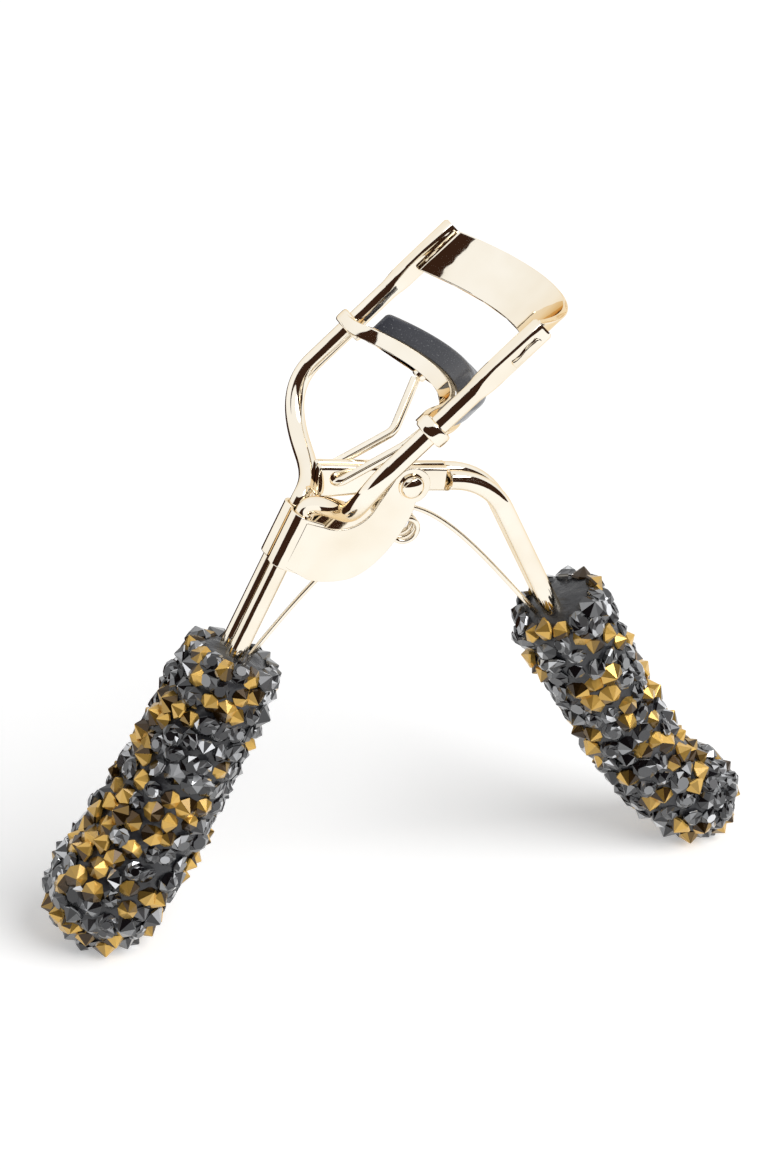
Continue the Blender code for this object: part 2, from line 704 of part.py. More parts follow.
def lever_rod(name, side):
    """A wire with a flattened end, which has holes for the rivet and the link."""
    way = lever_way().xz
    up = Vector((-way.y, way.x))
    tip = Vector(LINK_HOLE) - way * FLAT_REACH
    end = way * FLAT_LENGTH
    half = up * FLAT_HALF_HEIGHT
    outline = [tuple(point) for point in (tip + half, tip - up * FLAT_DROP, -half, end - half, end + half)]
    flat = plate(name, outline, side * FIT_GAP, side * FLAT_OUTER)
    cut(flat, disc("hole", (0.0, 0.0), RIVET_RADIUS + RUNNING_GAP, -CHEEK_OUTER, CHEEK_OUTER))
    cut(flat, disc("hole", LINK_HOLE, LINK_RADIUS + RUNNING_GAP, -CHEEK_OUTER, CHEEK_OUTER))
    join(flat, round_bar("rod", moving_rod_path(side, FLAT_LENGTH - ROD_RADIUS), ROD_DIAMETER))
    gild(flat)
    return flat


# Sliding jaw


def lower_jaw():
    """A curved wall that runs out to the guide eyes, and a floor for the pad behind it."""
    leaning = head_matrix(LOWER_JAW_HEIGHT, JAW_LEAN)
    eye_side = HALF_HEAD - EYE_RADIUS - FIT_GAP
    wall_line = jaw_arc(WALL_RADIUS, HALF_HEAD - WALL_END)
    end_bow = wall_line[0][1]
    line = [(-eye_side, end_bow)] + wall_line + [(eye_side, end_bow)]
    jaw = prism("lower_jaw", band(line, LOWER_SHEET), 0.0, WALL_HEIGHT, leaning)
    inner = WALL_RADIUS
    outer = JAW_RADIUS + PAD_WIDTH / 2
    floor_line = jaw_arc((inner + outer) / 2, HALF_HEAD - FLOOR_END)
    join(jaw, prism("floor", band(floor_line, outer - inner), 0.0, LOWER_SHEET, leaning))
    gild(jaw)
    return jaw


def jaw_pad():
    """A rubber strip on the floor, with rounded edges."""
    outline = band(jaw_arc(JAW_RADIUS, HALF_HEAD - PAD_END), PAD_WIDTH)
    foot = LOWER_SHEET + FIT_GAP
    pad = prism("jaw_pad", outline, foot, foot + PAD_HEIGHT, head_matrix(LOWER_JAW_HEIGHT, JAW_LEAN))
    bm = bmesh.new()
    bm.from_mesh(pad.data)
    sharp = [e for e in bm.edges if e.calc_face_angle(0.0) > math.radians(35)]
    bmesh.ops.bevel(
        bm, geom=sharp, offset=PAD_ROUND, affect="EDGES", segments=2, profile=0.5, material=-1
    )
    bm.to_mesh(pad.data)
    bm.free()
    shade(pad, (0.03, 0.03, 0.036), 0.5, 0.0)
    return pad


def guide_eye(name, side):
    """A ring at the jaw's end, which slides on a head wire."""
    place = head_matrix(LOWER_JAW_HEIGHT)
    rim = arc((side * HALF_HEAD, 0.0), EYE_RADIUS, 0, 360, ROUND_SIDES, True)
    eye = prism(name, rim, -EYE_DROP, EYE_HEIGHT - EYE_DROP, place)
    bore = arc((side * HALF_HEAD, 0.0), EYE_BORE, 0, 360, ROUND_SIDES, True)
    cut(eye, prism("bore", bore, -EYE_HEIGHT, 2 * EYE_HEIGHT, place))
    gild(eye)
    return eye


def link_boss(name, side):
    """A round boss whose top lies along the leaning floor and whose foot is square to the wires."""
    place = head_matrix(LOWER_JAW_HEIGHT)
    outline = arc((side * BOSS_SPREAD, BOSS_BOW), BOSS_RADIUS, 0, 360, ROUND_SIDES // 2, True)
    foot = boss_foot()
    boss = prism(name, outline, foot, foot + BOSS_HEIGHT, place)
    back = place.inverted()
    for vertex in boss.data.vertices:
        local = back @ vertex.co
        if local.z > foot + BOSS_HEIGHT / 2:
            local.z = JAW_LEAN * local.y - FIT_GAP
            vertex.co = place @ local
    gild(boss)
    return boss


def boss_foot():
    """How far along the wires the boss's foot lies from the jaw's own foot."""
    return JAW_LEAN * (BOSS_BOW - BOSS_RADIUS) - FIT_GAP - BOSS_HEIGHT


def link_tip(side):
    """Where an end of the link stops, just under its boss."""
    return head(LOWER_JAW_HEIGHT + boss_foot() - LINK_TIP_GAP, BOSS_BOW, side * BOSS_SPREAD)


def push_link():
    """A wire yoke: down from each boss to a knee, along the lever, and through its hole."""
    corners = [link_tip(1), plane(LINK_KNEE, LINK_SIDE), plane(LINK_HOLE, LINK_SIDE)]
    corners += [plane(LINK_HOLE, -LINK_SIDE), plane(LINK_KNEE, -LINK_SIDE), link_tip(-1)]
    radii = [LINK_KNEE_RADIUS, LINK_HOOK_RADIUS, LINK_HOOK_RADIUS, LINK_KNEE_RADIUS]
    link = round_bar("push_link", rounded(corners, radii), LINK_DIAMETER, 3)
    gild(link)
    return link


def main():
    for old in list(bpy.data.objects):
        bpy.data.objects.remove(old)
    sides = {"near": -1, "far": 1}
    for name, side in sides.items():
        frame_rod(f"frame_rod_{name}", side)
    upper_jaw()
    hinge_bracket()
    pivot_rivet()
    for name, side in sides.items():
        faces = sorted((side * (FLAT_OUTER + FIT_GAP), side * (CHEEK_INNER - FIT_GAP)))
        ring(f"pivot_spacer_{name}", SPACER_RADIUS, *faces)
    return_spring()
    fixed_grip()
    lever_axis = marker("lever_axis", PIVOT)
    for piece in [lever_rod(f"lever_rod_{name}", side) for name, side in sides.items()] + moving_grip():
        hang(piece, lever_axis)
    jaw_axis = marker("jaw_axis", head(LOWER_JAW_HEIGHT, 0.0, 0.0))
    jaw = [lower_jaw(), jaw_pad()]
    for name, side in sides.items():
        jaw += [guide_eye(f"guide_eye_{name}", side), link_boss(f"link_boss_{name}", side)]
    for piece in jaw:
        hang(piece, jaw_axis)
    hang(push_link(), marker("link_axis", plane(LINK_HOLE)))


main()
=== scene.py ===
import json
import math
import random

import bmesh
import bpy
from mathutils import Matrix, Vector, noise
from mathutils.geometry import interpolate_bezier
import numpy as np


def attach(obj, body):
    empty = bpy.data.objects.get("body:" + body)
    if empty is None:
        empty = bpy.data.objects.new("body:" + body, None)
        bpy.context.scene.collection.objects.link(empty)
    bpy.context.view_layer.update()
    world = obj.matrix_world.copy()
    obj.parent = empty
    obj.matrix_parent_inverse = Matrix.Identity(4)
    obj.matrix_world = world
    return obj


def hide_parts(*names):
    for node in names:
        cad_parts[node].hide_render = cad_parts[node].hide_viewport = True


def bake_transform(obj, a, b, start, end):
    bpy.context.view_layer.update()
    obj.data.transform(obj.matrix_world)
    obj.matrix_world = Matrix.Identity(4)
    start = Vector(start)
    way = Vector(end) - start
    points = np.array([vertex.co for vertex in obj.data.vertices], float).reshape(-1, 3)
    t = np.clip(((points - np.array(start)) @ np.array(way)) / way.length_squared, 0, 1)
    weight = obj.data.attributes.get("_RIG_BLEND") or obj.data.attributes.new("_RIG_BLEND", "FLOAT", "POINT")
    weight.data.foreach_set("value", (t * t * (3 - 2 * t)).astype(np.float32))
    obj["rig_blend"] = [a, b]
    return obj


bl_info = {
    "name": "Eyelash curler looks",
    "version": (1, 0, 0),
    "blender": (4, 5, 0),
    "location": "View3D > Sidebar > Curler",
    "description": "Plated wires, stone-set grips and a studio for the packed eyelash curler",
    "category": "Object",
}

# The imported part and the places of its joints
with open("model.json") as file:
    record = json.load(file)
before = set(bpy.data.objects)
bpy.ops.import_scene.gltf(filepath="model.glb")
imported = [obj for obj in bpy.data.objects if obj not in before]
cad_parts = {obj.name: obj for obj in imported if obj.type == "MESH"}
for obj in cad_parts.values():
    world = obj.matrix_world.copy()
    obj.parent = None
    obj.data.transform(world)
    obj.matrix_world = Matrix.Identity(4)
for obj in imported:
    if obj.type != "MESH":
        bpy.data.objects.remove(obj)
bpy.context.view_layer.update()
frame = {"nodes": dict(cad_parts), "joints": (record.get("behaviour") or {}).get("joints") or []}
JOINTS = {joint["name"]: joint for joint in frame["joints"]}
PIVOT = Vector(JOINTS["lever_hinge"]["pos_m"])
LINK_HOLE = Vector(JOINTS["link_hinge"]["pos_m"])
HEAD_WAY = Vector(JOINTS["jaw_slide"]["axis"]).normalized()
BOW_WAY = Vector((HEAD_WAY.z, 0.0, -HEAD_WAY.x))
SIDE_WAY = Vector((0.0, 1.0, 0.0))
SIDES = {"near": -1, "far": 1}

# Sizes of the part in metres; pairs of numbers are X and Z from the pivot
ROD_RADIUS = 0.0012
ROD_SIDE = 0.0013
LINK_RADIUS = 0.0006
SPRING_RADIUS = 0.000325
HALF_HEAD = 0.01565
HEAD_SETBACK = 0.01145
HEAD_LENGTH = 0.0250
SHOULDER_LENGTH = 0.0010
BLADE_LENGTH = 0.0072
BLADE_TAPER = 0.0040
BLADE_WIDTH = 0.0025
BLADE_THICKNESS = 0.0020
CAGE_POINT = (-0.0102, 0.00065)
CAGE_REACH = 0.0080
CAGE_SLOPE = (0.03, 0.349, 0.930)
JAW_HALF = 0.0140
JAW_BOW = 0.0066
JAW_LEAN = 0.58
TAB_BOW = 0.0004
JAW_RADIUS = (JAW_HALF**2 + JAW_BOW**2) / (2 * JAW_BOW)
JAW_SHEET = 0.0008
STRIP_HEIGHT = 0.00685
STRIP_FOOT = HEAD_LENGTH - STRIP_HEIGHT
TAB_MARGIN = 0.0014
TAB_TIP = 0.01695
LOWER_JAW_HEIGHT = 0.0073
LOWER_SHEET = 0.0006
WALL_HEIGHT = 0.0019
WALL_RADIUS = 0.0164
WALL_END = 0.0040
WALL_HOOK = 0.0014
FLOOR_END = 0.0028
PAD_WIDTH = 0.0026
PAD_HEIGHT = 0.0031
PAD_FOOT = 0.00075
PAD_END = 0.0024
EYE_BORE = 0.00145
EYE_RADIUS = 0.00205
EYE_LOW = -0.0007
EYE_HIGH = 0.0011
BOSS_SPREAD = 0.0054
BOSS_BOW = 0.0058
BOSS_RADIUS = 0.00095
BOSS_FOOT = 0.001963
SLEEVE_TOP = (-0.0130, -0.0023)
HANDLE_ANGLE = math.radians(26.8)
HANDLE_WAY = Vector((-math.sin(HANDLE_ANGLE), 0.0, -math.cos(HANDLE_ANGLE)))
SLEEVE_DROP = 0.0002
SLEEVE_LENGTH = 0.0071
SLEEVE_WALL = 0.0004
CHEEK_INNER = 0.00265
CHEEK_OUTER = 0.00305
BOSS_PLATE_RADIUS = 0.0024
CHEEK_CENTRE = (-0.0091, -0.0003)
CHEEK_RADIUS = 0.0112
CHEEK_SLOPE = ((0.0002, -0.0046), (-0.0044, -0.0115))
DIP_CENTRE = (-0.0086, 0.0003)
DIP_RADIUS = 0.0048
FLAT_HALF_HEIGHT = 0.00155
FLAT_REACH = 0.0021
FLAT_RISE = 0.0018
FLAT_DROP = 0.0024
FLAT_CORNER = 0.0004
FLAT_THICKNESS = 0.0011
FLAT_SIDE = 0.0007
FLAT_LENGTH = 0.0054
ELBOW_LENGTH = 0.0108
ELBOW_RADIUS = 0.0085
LEVER_HANDLE_ANGLE = math.radians(23.8)
LEVER_WAY = Vector((math.sin(LEVER_HANDLE_ANGLE), 0.0, -math.cos(LEVER_HANDLE_ANGLE)))
ARM_WAY = (PIVOT - LINK_HOLE).normalized()
LINK_SIDE = 0.00215
LINK_KNEE = (-0.0006, 0.0051)
LINK_KNEE_RADIUS = 0.0022
LINK_HOOK_RADIUS = 0.0010
LINK_TIP_GAP = 0.0002
COIL_CENTRE = (-0.0004, -0.0067)
COIL_RADIUS = 0.0017
COIL_TURNS = 3
COIL_PITCH = 0.00115
LEG_BULGE = 0.0064
LEG_RUN = 0.0080
LEG_ANGLE = math.radians(49)
LEG_ENDS = {-1: (-0.0200, -0.0172), 1: (0.0190, -0.0182)}
GRIP_TOP_DROP = 0.0214
GRIP_ANGLE = math.radians(26.5)
GRIP_STRAIGHT = 0.0165
GRIP_TURN = 0.0080
GRIP_HOLLOW = 0.00475
FOOT_DEPTH = 0.0005
ROD_DEPTH = 0.0140
STONE_CELL = 0.0026
STONE_SUNK = 0.0007
STONE_WANDER = 0.0003
RIM_ROUND = 0.0012
CAP_ROWS = 4
CAP_REACH = math.radians(75)
STONE_PATCH = 0.006
GRIPS = {
    "fixed": {
        "side": -1,
        "top": (-0.02178, -0.02121),
        "end_angle": math.radians(40),
        "foot": -0.0393,
        "walls": (0.0018, 0.0026, 0.0032),
    },
    "moving": {
        "side": 1,
        "top": (0.02022, -0.02104),
        "end_angle": math.radians(60),
        "foot": 0.0401,
        "walls": (0.0020, 0.0013, 0.0017),
    },
}


def linear(code):
    """A linear colour from an sRGB hex value."""
    shares = [int(code[i : i + 2], 16) / 255 for i in (0, 2, 4)]
    return tuple(s / 12.92 if s <= 0.04045 else ((s + 0.055) / 1.055) ** 2.4 for s in shares)


def colour_property(name, description, code):
    return bpy.props.FloatVectorProperty(
        name=name, description=description, subtype="COLOR", size=3, min=0.0, max=1.0, default=linear(code)
    )


# Settings


class CurlerMetal(bpy.types.PropertyGroup):
    """Plating and wire."""

    plating: colour_property("Plating", "Colour of the champagne gold plating", "FBF4E6")
    warm_plating: colour_property("Warm plating", "Colour where the plating is thicker", "F3E9D6")
    rim_tint: colour_property("Rim tint", "Tint of the plating seen edge on", "EFD9B4")
    wire_sides: bpy.props.IntProperty(
        name="Wire sides", description="Sides of a round wire", default=32, min=8, max=64
    )
    edge: bpy.props.FloatProperty(
        name="Edge", description="Rounding of sheet edges", default=0.00014, unit="LENGTH"
    )


class CurlerStones(bpy.types.PropertyGroup):
    """Cut stones and the resin that holds them."""

    width: bpy.props.FloatProperty(
        name="Width", description="Mean width of a stone", default=0.0030, unit="LENGTH"
    )
    tilt: bpy.props.FloatProperty(
        name="Tilt", description="Largest lean of a stone", default=math.radians(38), subtype="ANGLE"
    )
    stray: bpy.props.FloatProperty(
        name="Stray", description="How far a stone may sit from the middle of its cell", default=0.0007, unit="LENGTH"
    )
    gold_share: bpy.props.FloatProperty(
        name="Gold share", description="Share of gold stones", default=0.40, subtype="FACTOR"
    )
    seed: bpy.props.IntProperty(name="Seed", description="Start of the random draws", default=11)
    # The bright and dark facet colours below are painted light: bright facets are painted highlights and glints, dark
    # facets painted shade, over the stones' own gold and smoky glass.
    gold: colour_property("Gold", "Bright facets of the gold stones", "E0B459")
    gold_shade: colour_property("Gold shade", "Dark facets of the gold stones", "4A3413")
    smoke: colour_property("Smoke", "Bright facets of the smoky stones", "F2F4F8")
    smoke_shade: colour_property("Smoke shade", "Dark facets of the smoky stones", "1C1D22")
    resin: colour_property("Resin", "Colour of the resin bed", "37383C")
    bed_depth: bpy.props.FloatProperty(
        name="Bed depth", description="Depth of the resin under the girdles", default=0.0001, unit="LENGTH"
    )


class CurlerPad(bpy.types.PropertyGroup):
    """Rubber strip of the sliding jaw."""

    rubber: colour_property("Rubber", "Colour of the rubber", "33353E")
    speck: colour_property("Speck", "Colour of the fine specks in the rubber", "8A8C90")
    edge: bpy.props.FloatProperty(
        name="Edge", description="Rounding of the pad's edges", default=0.0009, unit="LENGTH"
    )


class CurlerStage(bpy.types.PropertyGroup):
    """Floor, light and camera."""

    floor: colour_property("Floor", "Colour of the floor", "F4F4F4")
    curtain: colour_property("Curtain", "Colour of the dark screens that the plating reflects", "38241A")
    azimuth: bpy.props.FloatProperty(
        name="Azimuth", description="Camera's turn round the object", default=math.radians(18.13), subtype="ANGLE"
    )
    elevation: bpy.props.FloatProperty(
        name="Elevation", description="Camera's height angle", default=math.radians(28.75), subtype="ANGLE"
    )
    distance: bpy.props.FloatProperty(
        name="Distance", description="From the camera to the pivot", default=0.4, unit="LENGTH"
    )
    focal_pixels: bpy.props.FloatProperty(
        name="Focal length", description="In pixels of the picture", default=3283.0
    )


# Paths of the part


def plane(point, y=0.0):
    """A point of the middle plane, given from the pivot, moved sideways by y."""
    return PIVOT + Vector((point[0], y, point[1]))


def head(along, bow, y):
    """A point of the head: along the wires, bowed out from their plane, and sideways."""
    return PIVOT + HEAD_WAY * along + BOW_WAY * (bow - HEAD_SETBACK) + SIDE_WAY * y


def head_matrix(along):
    """Maps X to the side, Y to the bow and Z along the wires."""
    turn = Matrix((SIDE_WAY, BOW_WAY, HEAD_WAY)).transposed().to_4x4()
    return Matrix.Translation(head(along, 0.0, 0.0)) @ turn


def lean_jaw(bm, radius, along):
    """Lifts a jaw's points by the lean of its middle line, and sets the jaw on the head."""
    centre = TAB_BOW + JAW_BOW - JAW_RADIUS
    for vert in bm.verts:
        turn = math.atan2(vert.co.x, vert.co.y - centre)
        vert.co.z += JAW_LEAN * (centre + radius * math.cos(turn))
    bmesh.ops.transform(bm, matrix=head_matrix(along), verts=bm.verts)


def upright(y=0.0):
    """Maps X and Y to the middle plane's X and Z from the pivot, and Z across it."""
    return Matrix(((1, 0, 0, PIVOT.x), (0, 0, 1, y), (0, 1, 0, PIVOT.z), (0, 0, 0, 1)))


def bend(first, first_way, last, last_way, steps=28):
    return interpolate_bezier(first, first + first_way, last - last_way, last, steps)


def arc(centre, radius, start, end, steps):
    """Points on a circle between two angles in degrees."""
    angles = [math.radians(start + (end - start) * i / steps) for i in range(steps + 1)]
    return [(centre[0] + radius * math.cos(a), centre[1] + radius * math.sin(a)) for a in angles]


def rounded(corners, radii, step=6.0):
    """A path of straight runs whose inner corners are arcs of the given radii."""
    path = [corners[0]]
    for before, corner, after, radius in zip(corners, corners[1:], corners[2:], radii):
        back = (before - corner).normalized()
        on = (after - corner).normalized()
        half = back.angle(on) / 2
        centre = corner + (back + on).normalized() * radius / math.sin(half)
        first = corner + back * radius / math.tan(half) - centre
        turn = math.pi - 2 * half
        steps = max(4, round(math.degrees(turn) / step))
        path += [centre + Matrix.Rotation(turn * i / steps, 3, on.cross(back)) @ first for i in range(steps + 1)]
    return path + [corners[-1]]


def directions(path):
    """The way along a path at each of its points."""
    steps = [(b - a).normalized() for a, b in zip(path, path[1:])]
    return [steps[0]] + [(a + b).normalized() for a, b in zip(steps, steps[1:])] + [steps[-1]]


def band(line, thickness):
    """The outline of a strip of even thickness along a line in X and Y."""
    line = [Vector(p) for p in line]
    ways = [(b - a).normalized() for a, b in zip(line, line[1:])]
    left = []
    right = []
    for i, point in enumerate(line):
        before = ways[max(i - 1, 0)]
        after = ways[min(i, len(ways) - 1)]
        normal = Vector((-before.y - after.y, before.x + after.x)).normalized()
        offset = normal * thickness / 2 / normal.dot(Vector((-after.y, after.x)))
        left.append(tuple(point + offset))
        right.append(tuple(point - offset))
    return left + right[::-1]


def jaw_arc(radius, half, steps=56):
    """A line along a jaw: round the jaws' common centre, out to half on each side."""
    reach = math.degrees(math.asin(half / radius))
    return arc((0.0, TAB_BOW + JAW_BOW - JAW_RADIUS), radius, 90 + reach, 90 - reach, steps)


def handle_length():
    return (GRIP_TOP_DROP + SLEEVE_TOP[1]) / math.cos(HANDLE_ANGLE)


def elbow():
    return PIVOT + ARM_WAY * ELBOW_LENGTH


def lever_drop():
    return (GRIP_TOP_DROP + elbow().z - PIVOT.z) / math.cos(LEVER_HANDLE_ANGLE)


def grip_axis(grip, steps=48):
    """The middle line of a grip: straight at first, then turned out to its foot."""
    side = grip["side"]
    way = Vector((side * math.sin(GRIP_ANGLE), 0.0, -math.cos(GRIP_ANGLE)))
    end_way = Vector((side * math.sin(grip["end_angle"]), 0.0, -math.cos(grip["end_angle"])))
    foot = Vector((PIVOT.x + grip["foot"], 0.0, GRIP_HOLLOW + grip["walls"][2] - FOOT_DEPTH))
    return bend(plane(grip["top"]), way * GRIP_STRAIGHT, foot, end_way * GRIP_TURN, steps)


def grip_radii(grip, steps=48):
    """Outer radii along a grip that pass through those at its top, middle and end."""
    top, middle, end = grip["walls"]
    radii = []
    for i in range(steps):
        t = i / (steps - 1)
        wall = top * (1 - t) * (1 - 2 * t) + middle * 4 * t * (1 - t) + end * t * (2 * t - 1)
        radii.append(GRIP_HOLLOW + wall)
    return radii


# Modelling tools


def is_vert(item):
    return isinstance(item, bmesh.types.BMVert)


def sweep(bm, path, radii, sides):
    """Extrudes a ring along a path, closes both ends and returns the rings."""
    ways = directions(path)
    ring = bmesh.ops.create_circle(bm, segments=sides, radius=radii[0], cap_ends=False)["verts"]
    turn = ways[0].to_track_quat("Z", "Y").to_matrix().to_4x4()
    bmesh.ops.transform(bm, matrix=Matrix.Translation(path[0]) @ turn, verts=ring)
    edges = list({e for v in ring for e in v.link_edges})
    bmesh.ops.contextual_create(bm, geom=edges)
    rings = [ring]
    for i in range(1, len(path)):
        made = bmesh.ops.extrude_edge_only(bm, edges=edges)["geom"]
        ring = [item for item in made if is_vert(item)]
        fresh = set(ring)
        edges = [e for e in made if isinstance(e, bmesh.types.BMEdge) and set(e.verts) <= fresh]
        turn = ways[i - 1].rotation_difference(ways[i]).to_matrix().to_4x4()
        size = Matrix.Scale(radii[i] / radii[i - 1], 4)
        move = Matrix.Translation(path[i]) @ turn @ size @ Matrix.Translation(-path[i - 1])
        bmesh.ops.transform(bm, matrix=move, verts=ring)
        rings.append(ring)
    bmesh.ops.contextual_create(bm, geom=edges)
    return rings


def press(ring, centre, across, height, half_across, half_height, square):
    """Flattens a round ring of wire, as a press does: wider, thinner and squarer."""
    power = 2.0 + 6.0 * square
    for vert in ring:
        offset = vert.co - centre
        a = offset.dot(across)
        h = offset.dot(height)
        size = (abs(a) ** power + abs(h) ** power) ** (1 / power)
        vert.co = centre + across * (a / size * half_across) + height * (h / size * half_height)


def raise_outline(bm, outline, low, high, matrix=None):
    """A flat outline in X and Y, raised from low to high along Z and placed by a matrix if given."""
    face = bm.faces.new([bm.verts.new((x, y, low)) for x, y in outline])
    grown = bmesh.ops.extrude_face_region(bm, geom=[face])["geom"]
    top = [item for item in grown if is_vert(item)]
    bmesh.ops.translate(bm, verts=top, vec=(0.0, 0.0, high - low))
    if matrix:
        bmesh.ops.transform(bm, matrix=matrix, verts=list(face.verts) + top)


def lathe(bm, profile, matrix, closed=False, steps=48):
    """Spins a profile of radii and heights round Z and places it by a matrix."""
    verts = [bm.verts.new((radius, 0.0, z)) for radius, z in profile]
    pairs = list(zip(verts, verts[1:]))
    if closed:
        pairs.append((verts[-1], verts[0]))
    edges = [bm.edges.new(pair) for pair in pairs]
    bmesh.ops.spin(
        bm,
        geom=verts + edges,
        cent=(0, 0, 0),
        axis=(0, 0, 1),
        angle=2 * math.pi,
        steps=steps,
        use_merge=True,
    )
    bmesh.ops.remove_doubles(bm, verts=bm.verts, dist=1e-6)
    bmesh.ops.transform(bm, matrix=matrix, verts=bm.verts)


def soften(bm, width, segments=3, over=40.0):
    """Rounds every edge that is sharper than an angle in degrees."""
    bmesh.ops.recalc_face_normals(bm, faces=bm.faces)
    sharp = [e for e in bm.edges if e.is_manifold and e.calc_face_angle(0.0) > math.radians(over)]
    bmesh.ops.bevel(
        bm,
        geom=sharp,
        offset=width,
        affect="EDGES",
        segments=segments,
        profile=0.5,
        material=-1,
        clamp_overlap=True,
    )


def finish_piece(name, bm, material, body=None, nodes=(), sharp=32.0, sheet=False):
    """Makes the object, rides it on its body, and hides the nodes that it stands for.

    A sheet's wide faces keep their own normals, so that only its rounded edges bend the light.
    """
    bmesh.ops.remove_doubles(bm, verts=bm.verts, dist=1e-6)
    bmesh.ops.recalc_face_normals(bm, faces=bm.faces)
    mesh = bpy.data.meshes.new(name)
    bm.to_mesh(mesh)
    bm.free()
    mesh.materials.append(material)
    mesh.shade_smooth()
    mesh.set_sharp_from_angle(angle=math.radians(sharp))
    piece = bpy.data.objects.new(name, mesh)
    bpy.context.scene.collection.objects.link(piece)
    if sheet:
        piece.modifiers.new("even_faces", "WEIGHTED_NORMAL").keep_sharp = True
    if nodes:
        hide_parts(*nodes)
    if body:
        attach(piece, body)
    return piece


# Materials


def per_mm(size):
    """Texture scale for a pattern whose features are this many millimetres across."""
    return 1000.0 / size


def add(tree, kind, inputs=None, **settings):
    """Adds a node, sets its properties, and fills or links its inputs."""
    node = tree.nodes.new(kind)
    for name, value in settings.items():
        setattr(node, name, value)
    for socket, value in (inputs or {}).items():
        if isinstance(value, bpy.types.NodeSocket):
            tree.links.new(value, node.inputs[socket])
        else:
            node.inputs[socket].default_value = value
    return node


def ramp(tree, fac, stops):
    """A colour ramp through stops of place and linear colour."""
    node = add(tree, "ShaderNodeValToRGB", {"Fac": fac})
    while len(node.color_ramp.elements) < len(stops):
        node.color_ramp.elements.new(1.0)
    for element, (place, colour) in zip(node.color_ramp.elements, stops):
        element.position = place
        element.color = (*colour, 1.0)
    return node.outputs["Color"]


def new_material(name):
    """A material with an empty Principled surface, as (material, tree, surface)."""
    material = bpy.data.materials.get(name)
    if material is None:
        material = bpy.data.materials.new(name)
        material.use_nodes = True
    tree = material.node_tree
    return material, tree, tree.nodes["Principled BSDF"]


def plating():
    """Champagne gold electroplate on polished steel: a mirror with a faint ripple and a warmer cast in places."""
    name = "champagne_gold_plate"
    if name in bpy.data.materials:
        return bpy.data.materials[name]
    settings = bpy.context.scene.curler_metal
    material, tree, surface = new_material(name)
    place = add(tree, "ShaderNodeTexCoord").outputs["Object"]
    cast = add(tree, "ShaderNodeTexNoise", {"Vector": place, "Scale": per_mm(7.0), "Detail": 2.0})
    tint = ramp(tree, cast.outputs["Fac"], [(0.35, settings.plating), (0.75, settings.warm_plating)])
    polish = add(tree, "ShaderNodeTexNoise", {"Vector": place, "Scale": per_mm(0.5), "Detail": 3.0})
    haze = add(
        tree,
        "ShaderNodeMapRange",
        {"Value": polish.outputs["Fac"], "From Min": 0.3, "From Max": 0.7, "To Min": 0.02, "To Max": 0.055},
    )
    ripple = add(tree, "ShaderNodeTexNoise", {"Vector": place, "Scale": per_mm(3.0), "Detail": 1.0})
    bump = add(
        tree,
        "ShaderNodeBump",
        {"Height": ripple.outputs["Fac"], "Strength": 0.12, "Distance": 0.0002},
    )
    tree.links.new(tint, surface.inputs["Base Color"])
    tree.links.new(haze.outputs["Result"], surface.inputs["Roughness"])
    tree.links.new(bump.outputs["Normal"], surface.inputs["Normal"])
    surface.inputs["Metallic"].default_value = 1.0
    surface.inputs["Specular Tint"].default_value = (*settings.rim_tint, 1.0)
    return material


def stone_material(name, stops, metallic, roughness, coat):
    """Cut glass whose facets each take a painted light or shade from the stone's attribute: bright facets are painted
    reflections and glints, dark ones painted shade.
    """
    material, tree, surface = new_material(name)
    tone = add(tree, "ShaderNodeAttribute", attribute_name="tone").outputs["Fac"]
    tree.links.new(ramp(tree, tone, stops), surface.inputs["Base Color"])
    surface.inputs["Metallic"].default_value = metallic
    surface.inputs["Roughness"].default_value = roughness
    surface.inputs["Coat Weight"].default_value = coat
    surface.inputs["Coat Roughness"].default_value = 0.03
    return material


def resin():
    """Cast epoxy, charcoal grey and glossy, with the dimples left between stones as it set."""
    name = "charcoal_resin"
    if name in bpy.data.materials:
        return bpy.data.materials[name]
    settings = bpy.context.scene.curler_stones
    material, tree, surface = new_material(name)
    place = add(tree, "ShaderNodeTexCoord").outputs["Object"]
    cloud = add(tree, "ShaderNodeTexNoise", {"Vector": place, "Scale": per_mm(2.2), "Detail": 4.0})
    dark = tuple(c * 0.45 for c in settings.resin)
    tint = ramp(tree, cloud.outputs["Fac"], [(0.3, dark), (0.72, settings.resin)])
    dimple = add(tree, "ShaderNodeTexNoise", {"Vector": place, "Scale": per_mm(0.9), "Detail": 3.0})
    bump = add(
        tree,
        "ShaderNodeBump",
        {"Height": dimple.outputs["Fac"], "Strength": 0.5, "Distance": 0.0003},
    )
    tree.links.new(tint, surface.inputs["Base Color"])
    tree.links.new(bump.outputs["Normal"], surface.inputs["Normal"])
    surface.inputs["Roughness"].default_value = 0.26
    surface.inputs["IOR"].default_value = 1.52
    return material


def rubber():
    """Moulded silicone rubber, charcoal blue with fine pale specks and a satin skin."""
    settings = bpy.context.scene.curler_pad
    material, tree, surface = new_material("charcoal_silicone")
    place = add(tree, "ShaderNodeTexCoord").outputs["Object"]
    speck = add(tree, "ShaderNodeTexNoise", {"Vector": place, "Scale": per_mm(0.16), "Detail": 1.0})
    tint = ramp(tree, speck.outputs["Fac"], [(0.66, settings.rubber), (0.74, settings.speck)])
    skin = add(tree, "ShaderNodeTexNoise", {"Vector": place, "Scale": per_mm(0.35), "Detail": 2.0})
    bump = add(
        tree,
        "ShaderNodeBump",
        {"Height": skin.outputs["Fac"], "Strength": 0.15, "Distance": 0.00008},
    )
    tree.links.new(tint, surface.inputs["Base Color"])
    tree.links.new(bump.outputs["Normal"], surface.inputs["Normal"])
    surface.inputs["Roughness"].default_value = 0.38
    surface.inputs["IOR"].default_value = 1.43
    surface.inputs["Coat Weight"].default_value = 0.6
    surface.inputs["Coat Roughness"].default_value = 0.16
    return material


# Fixed frame


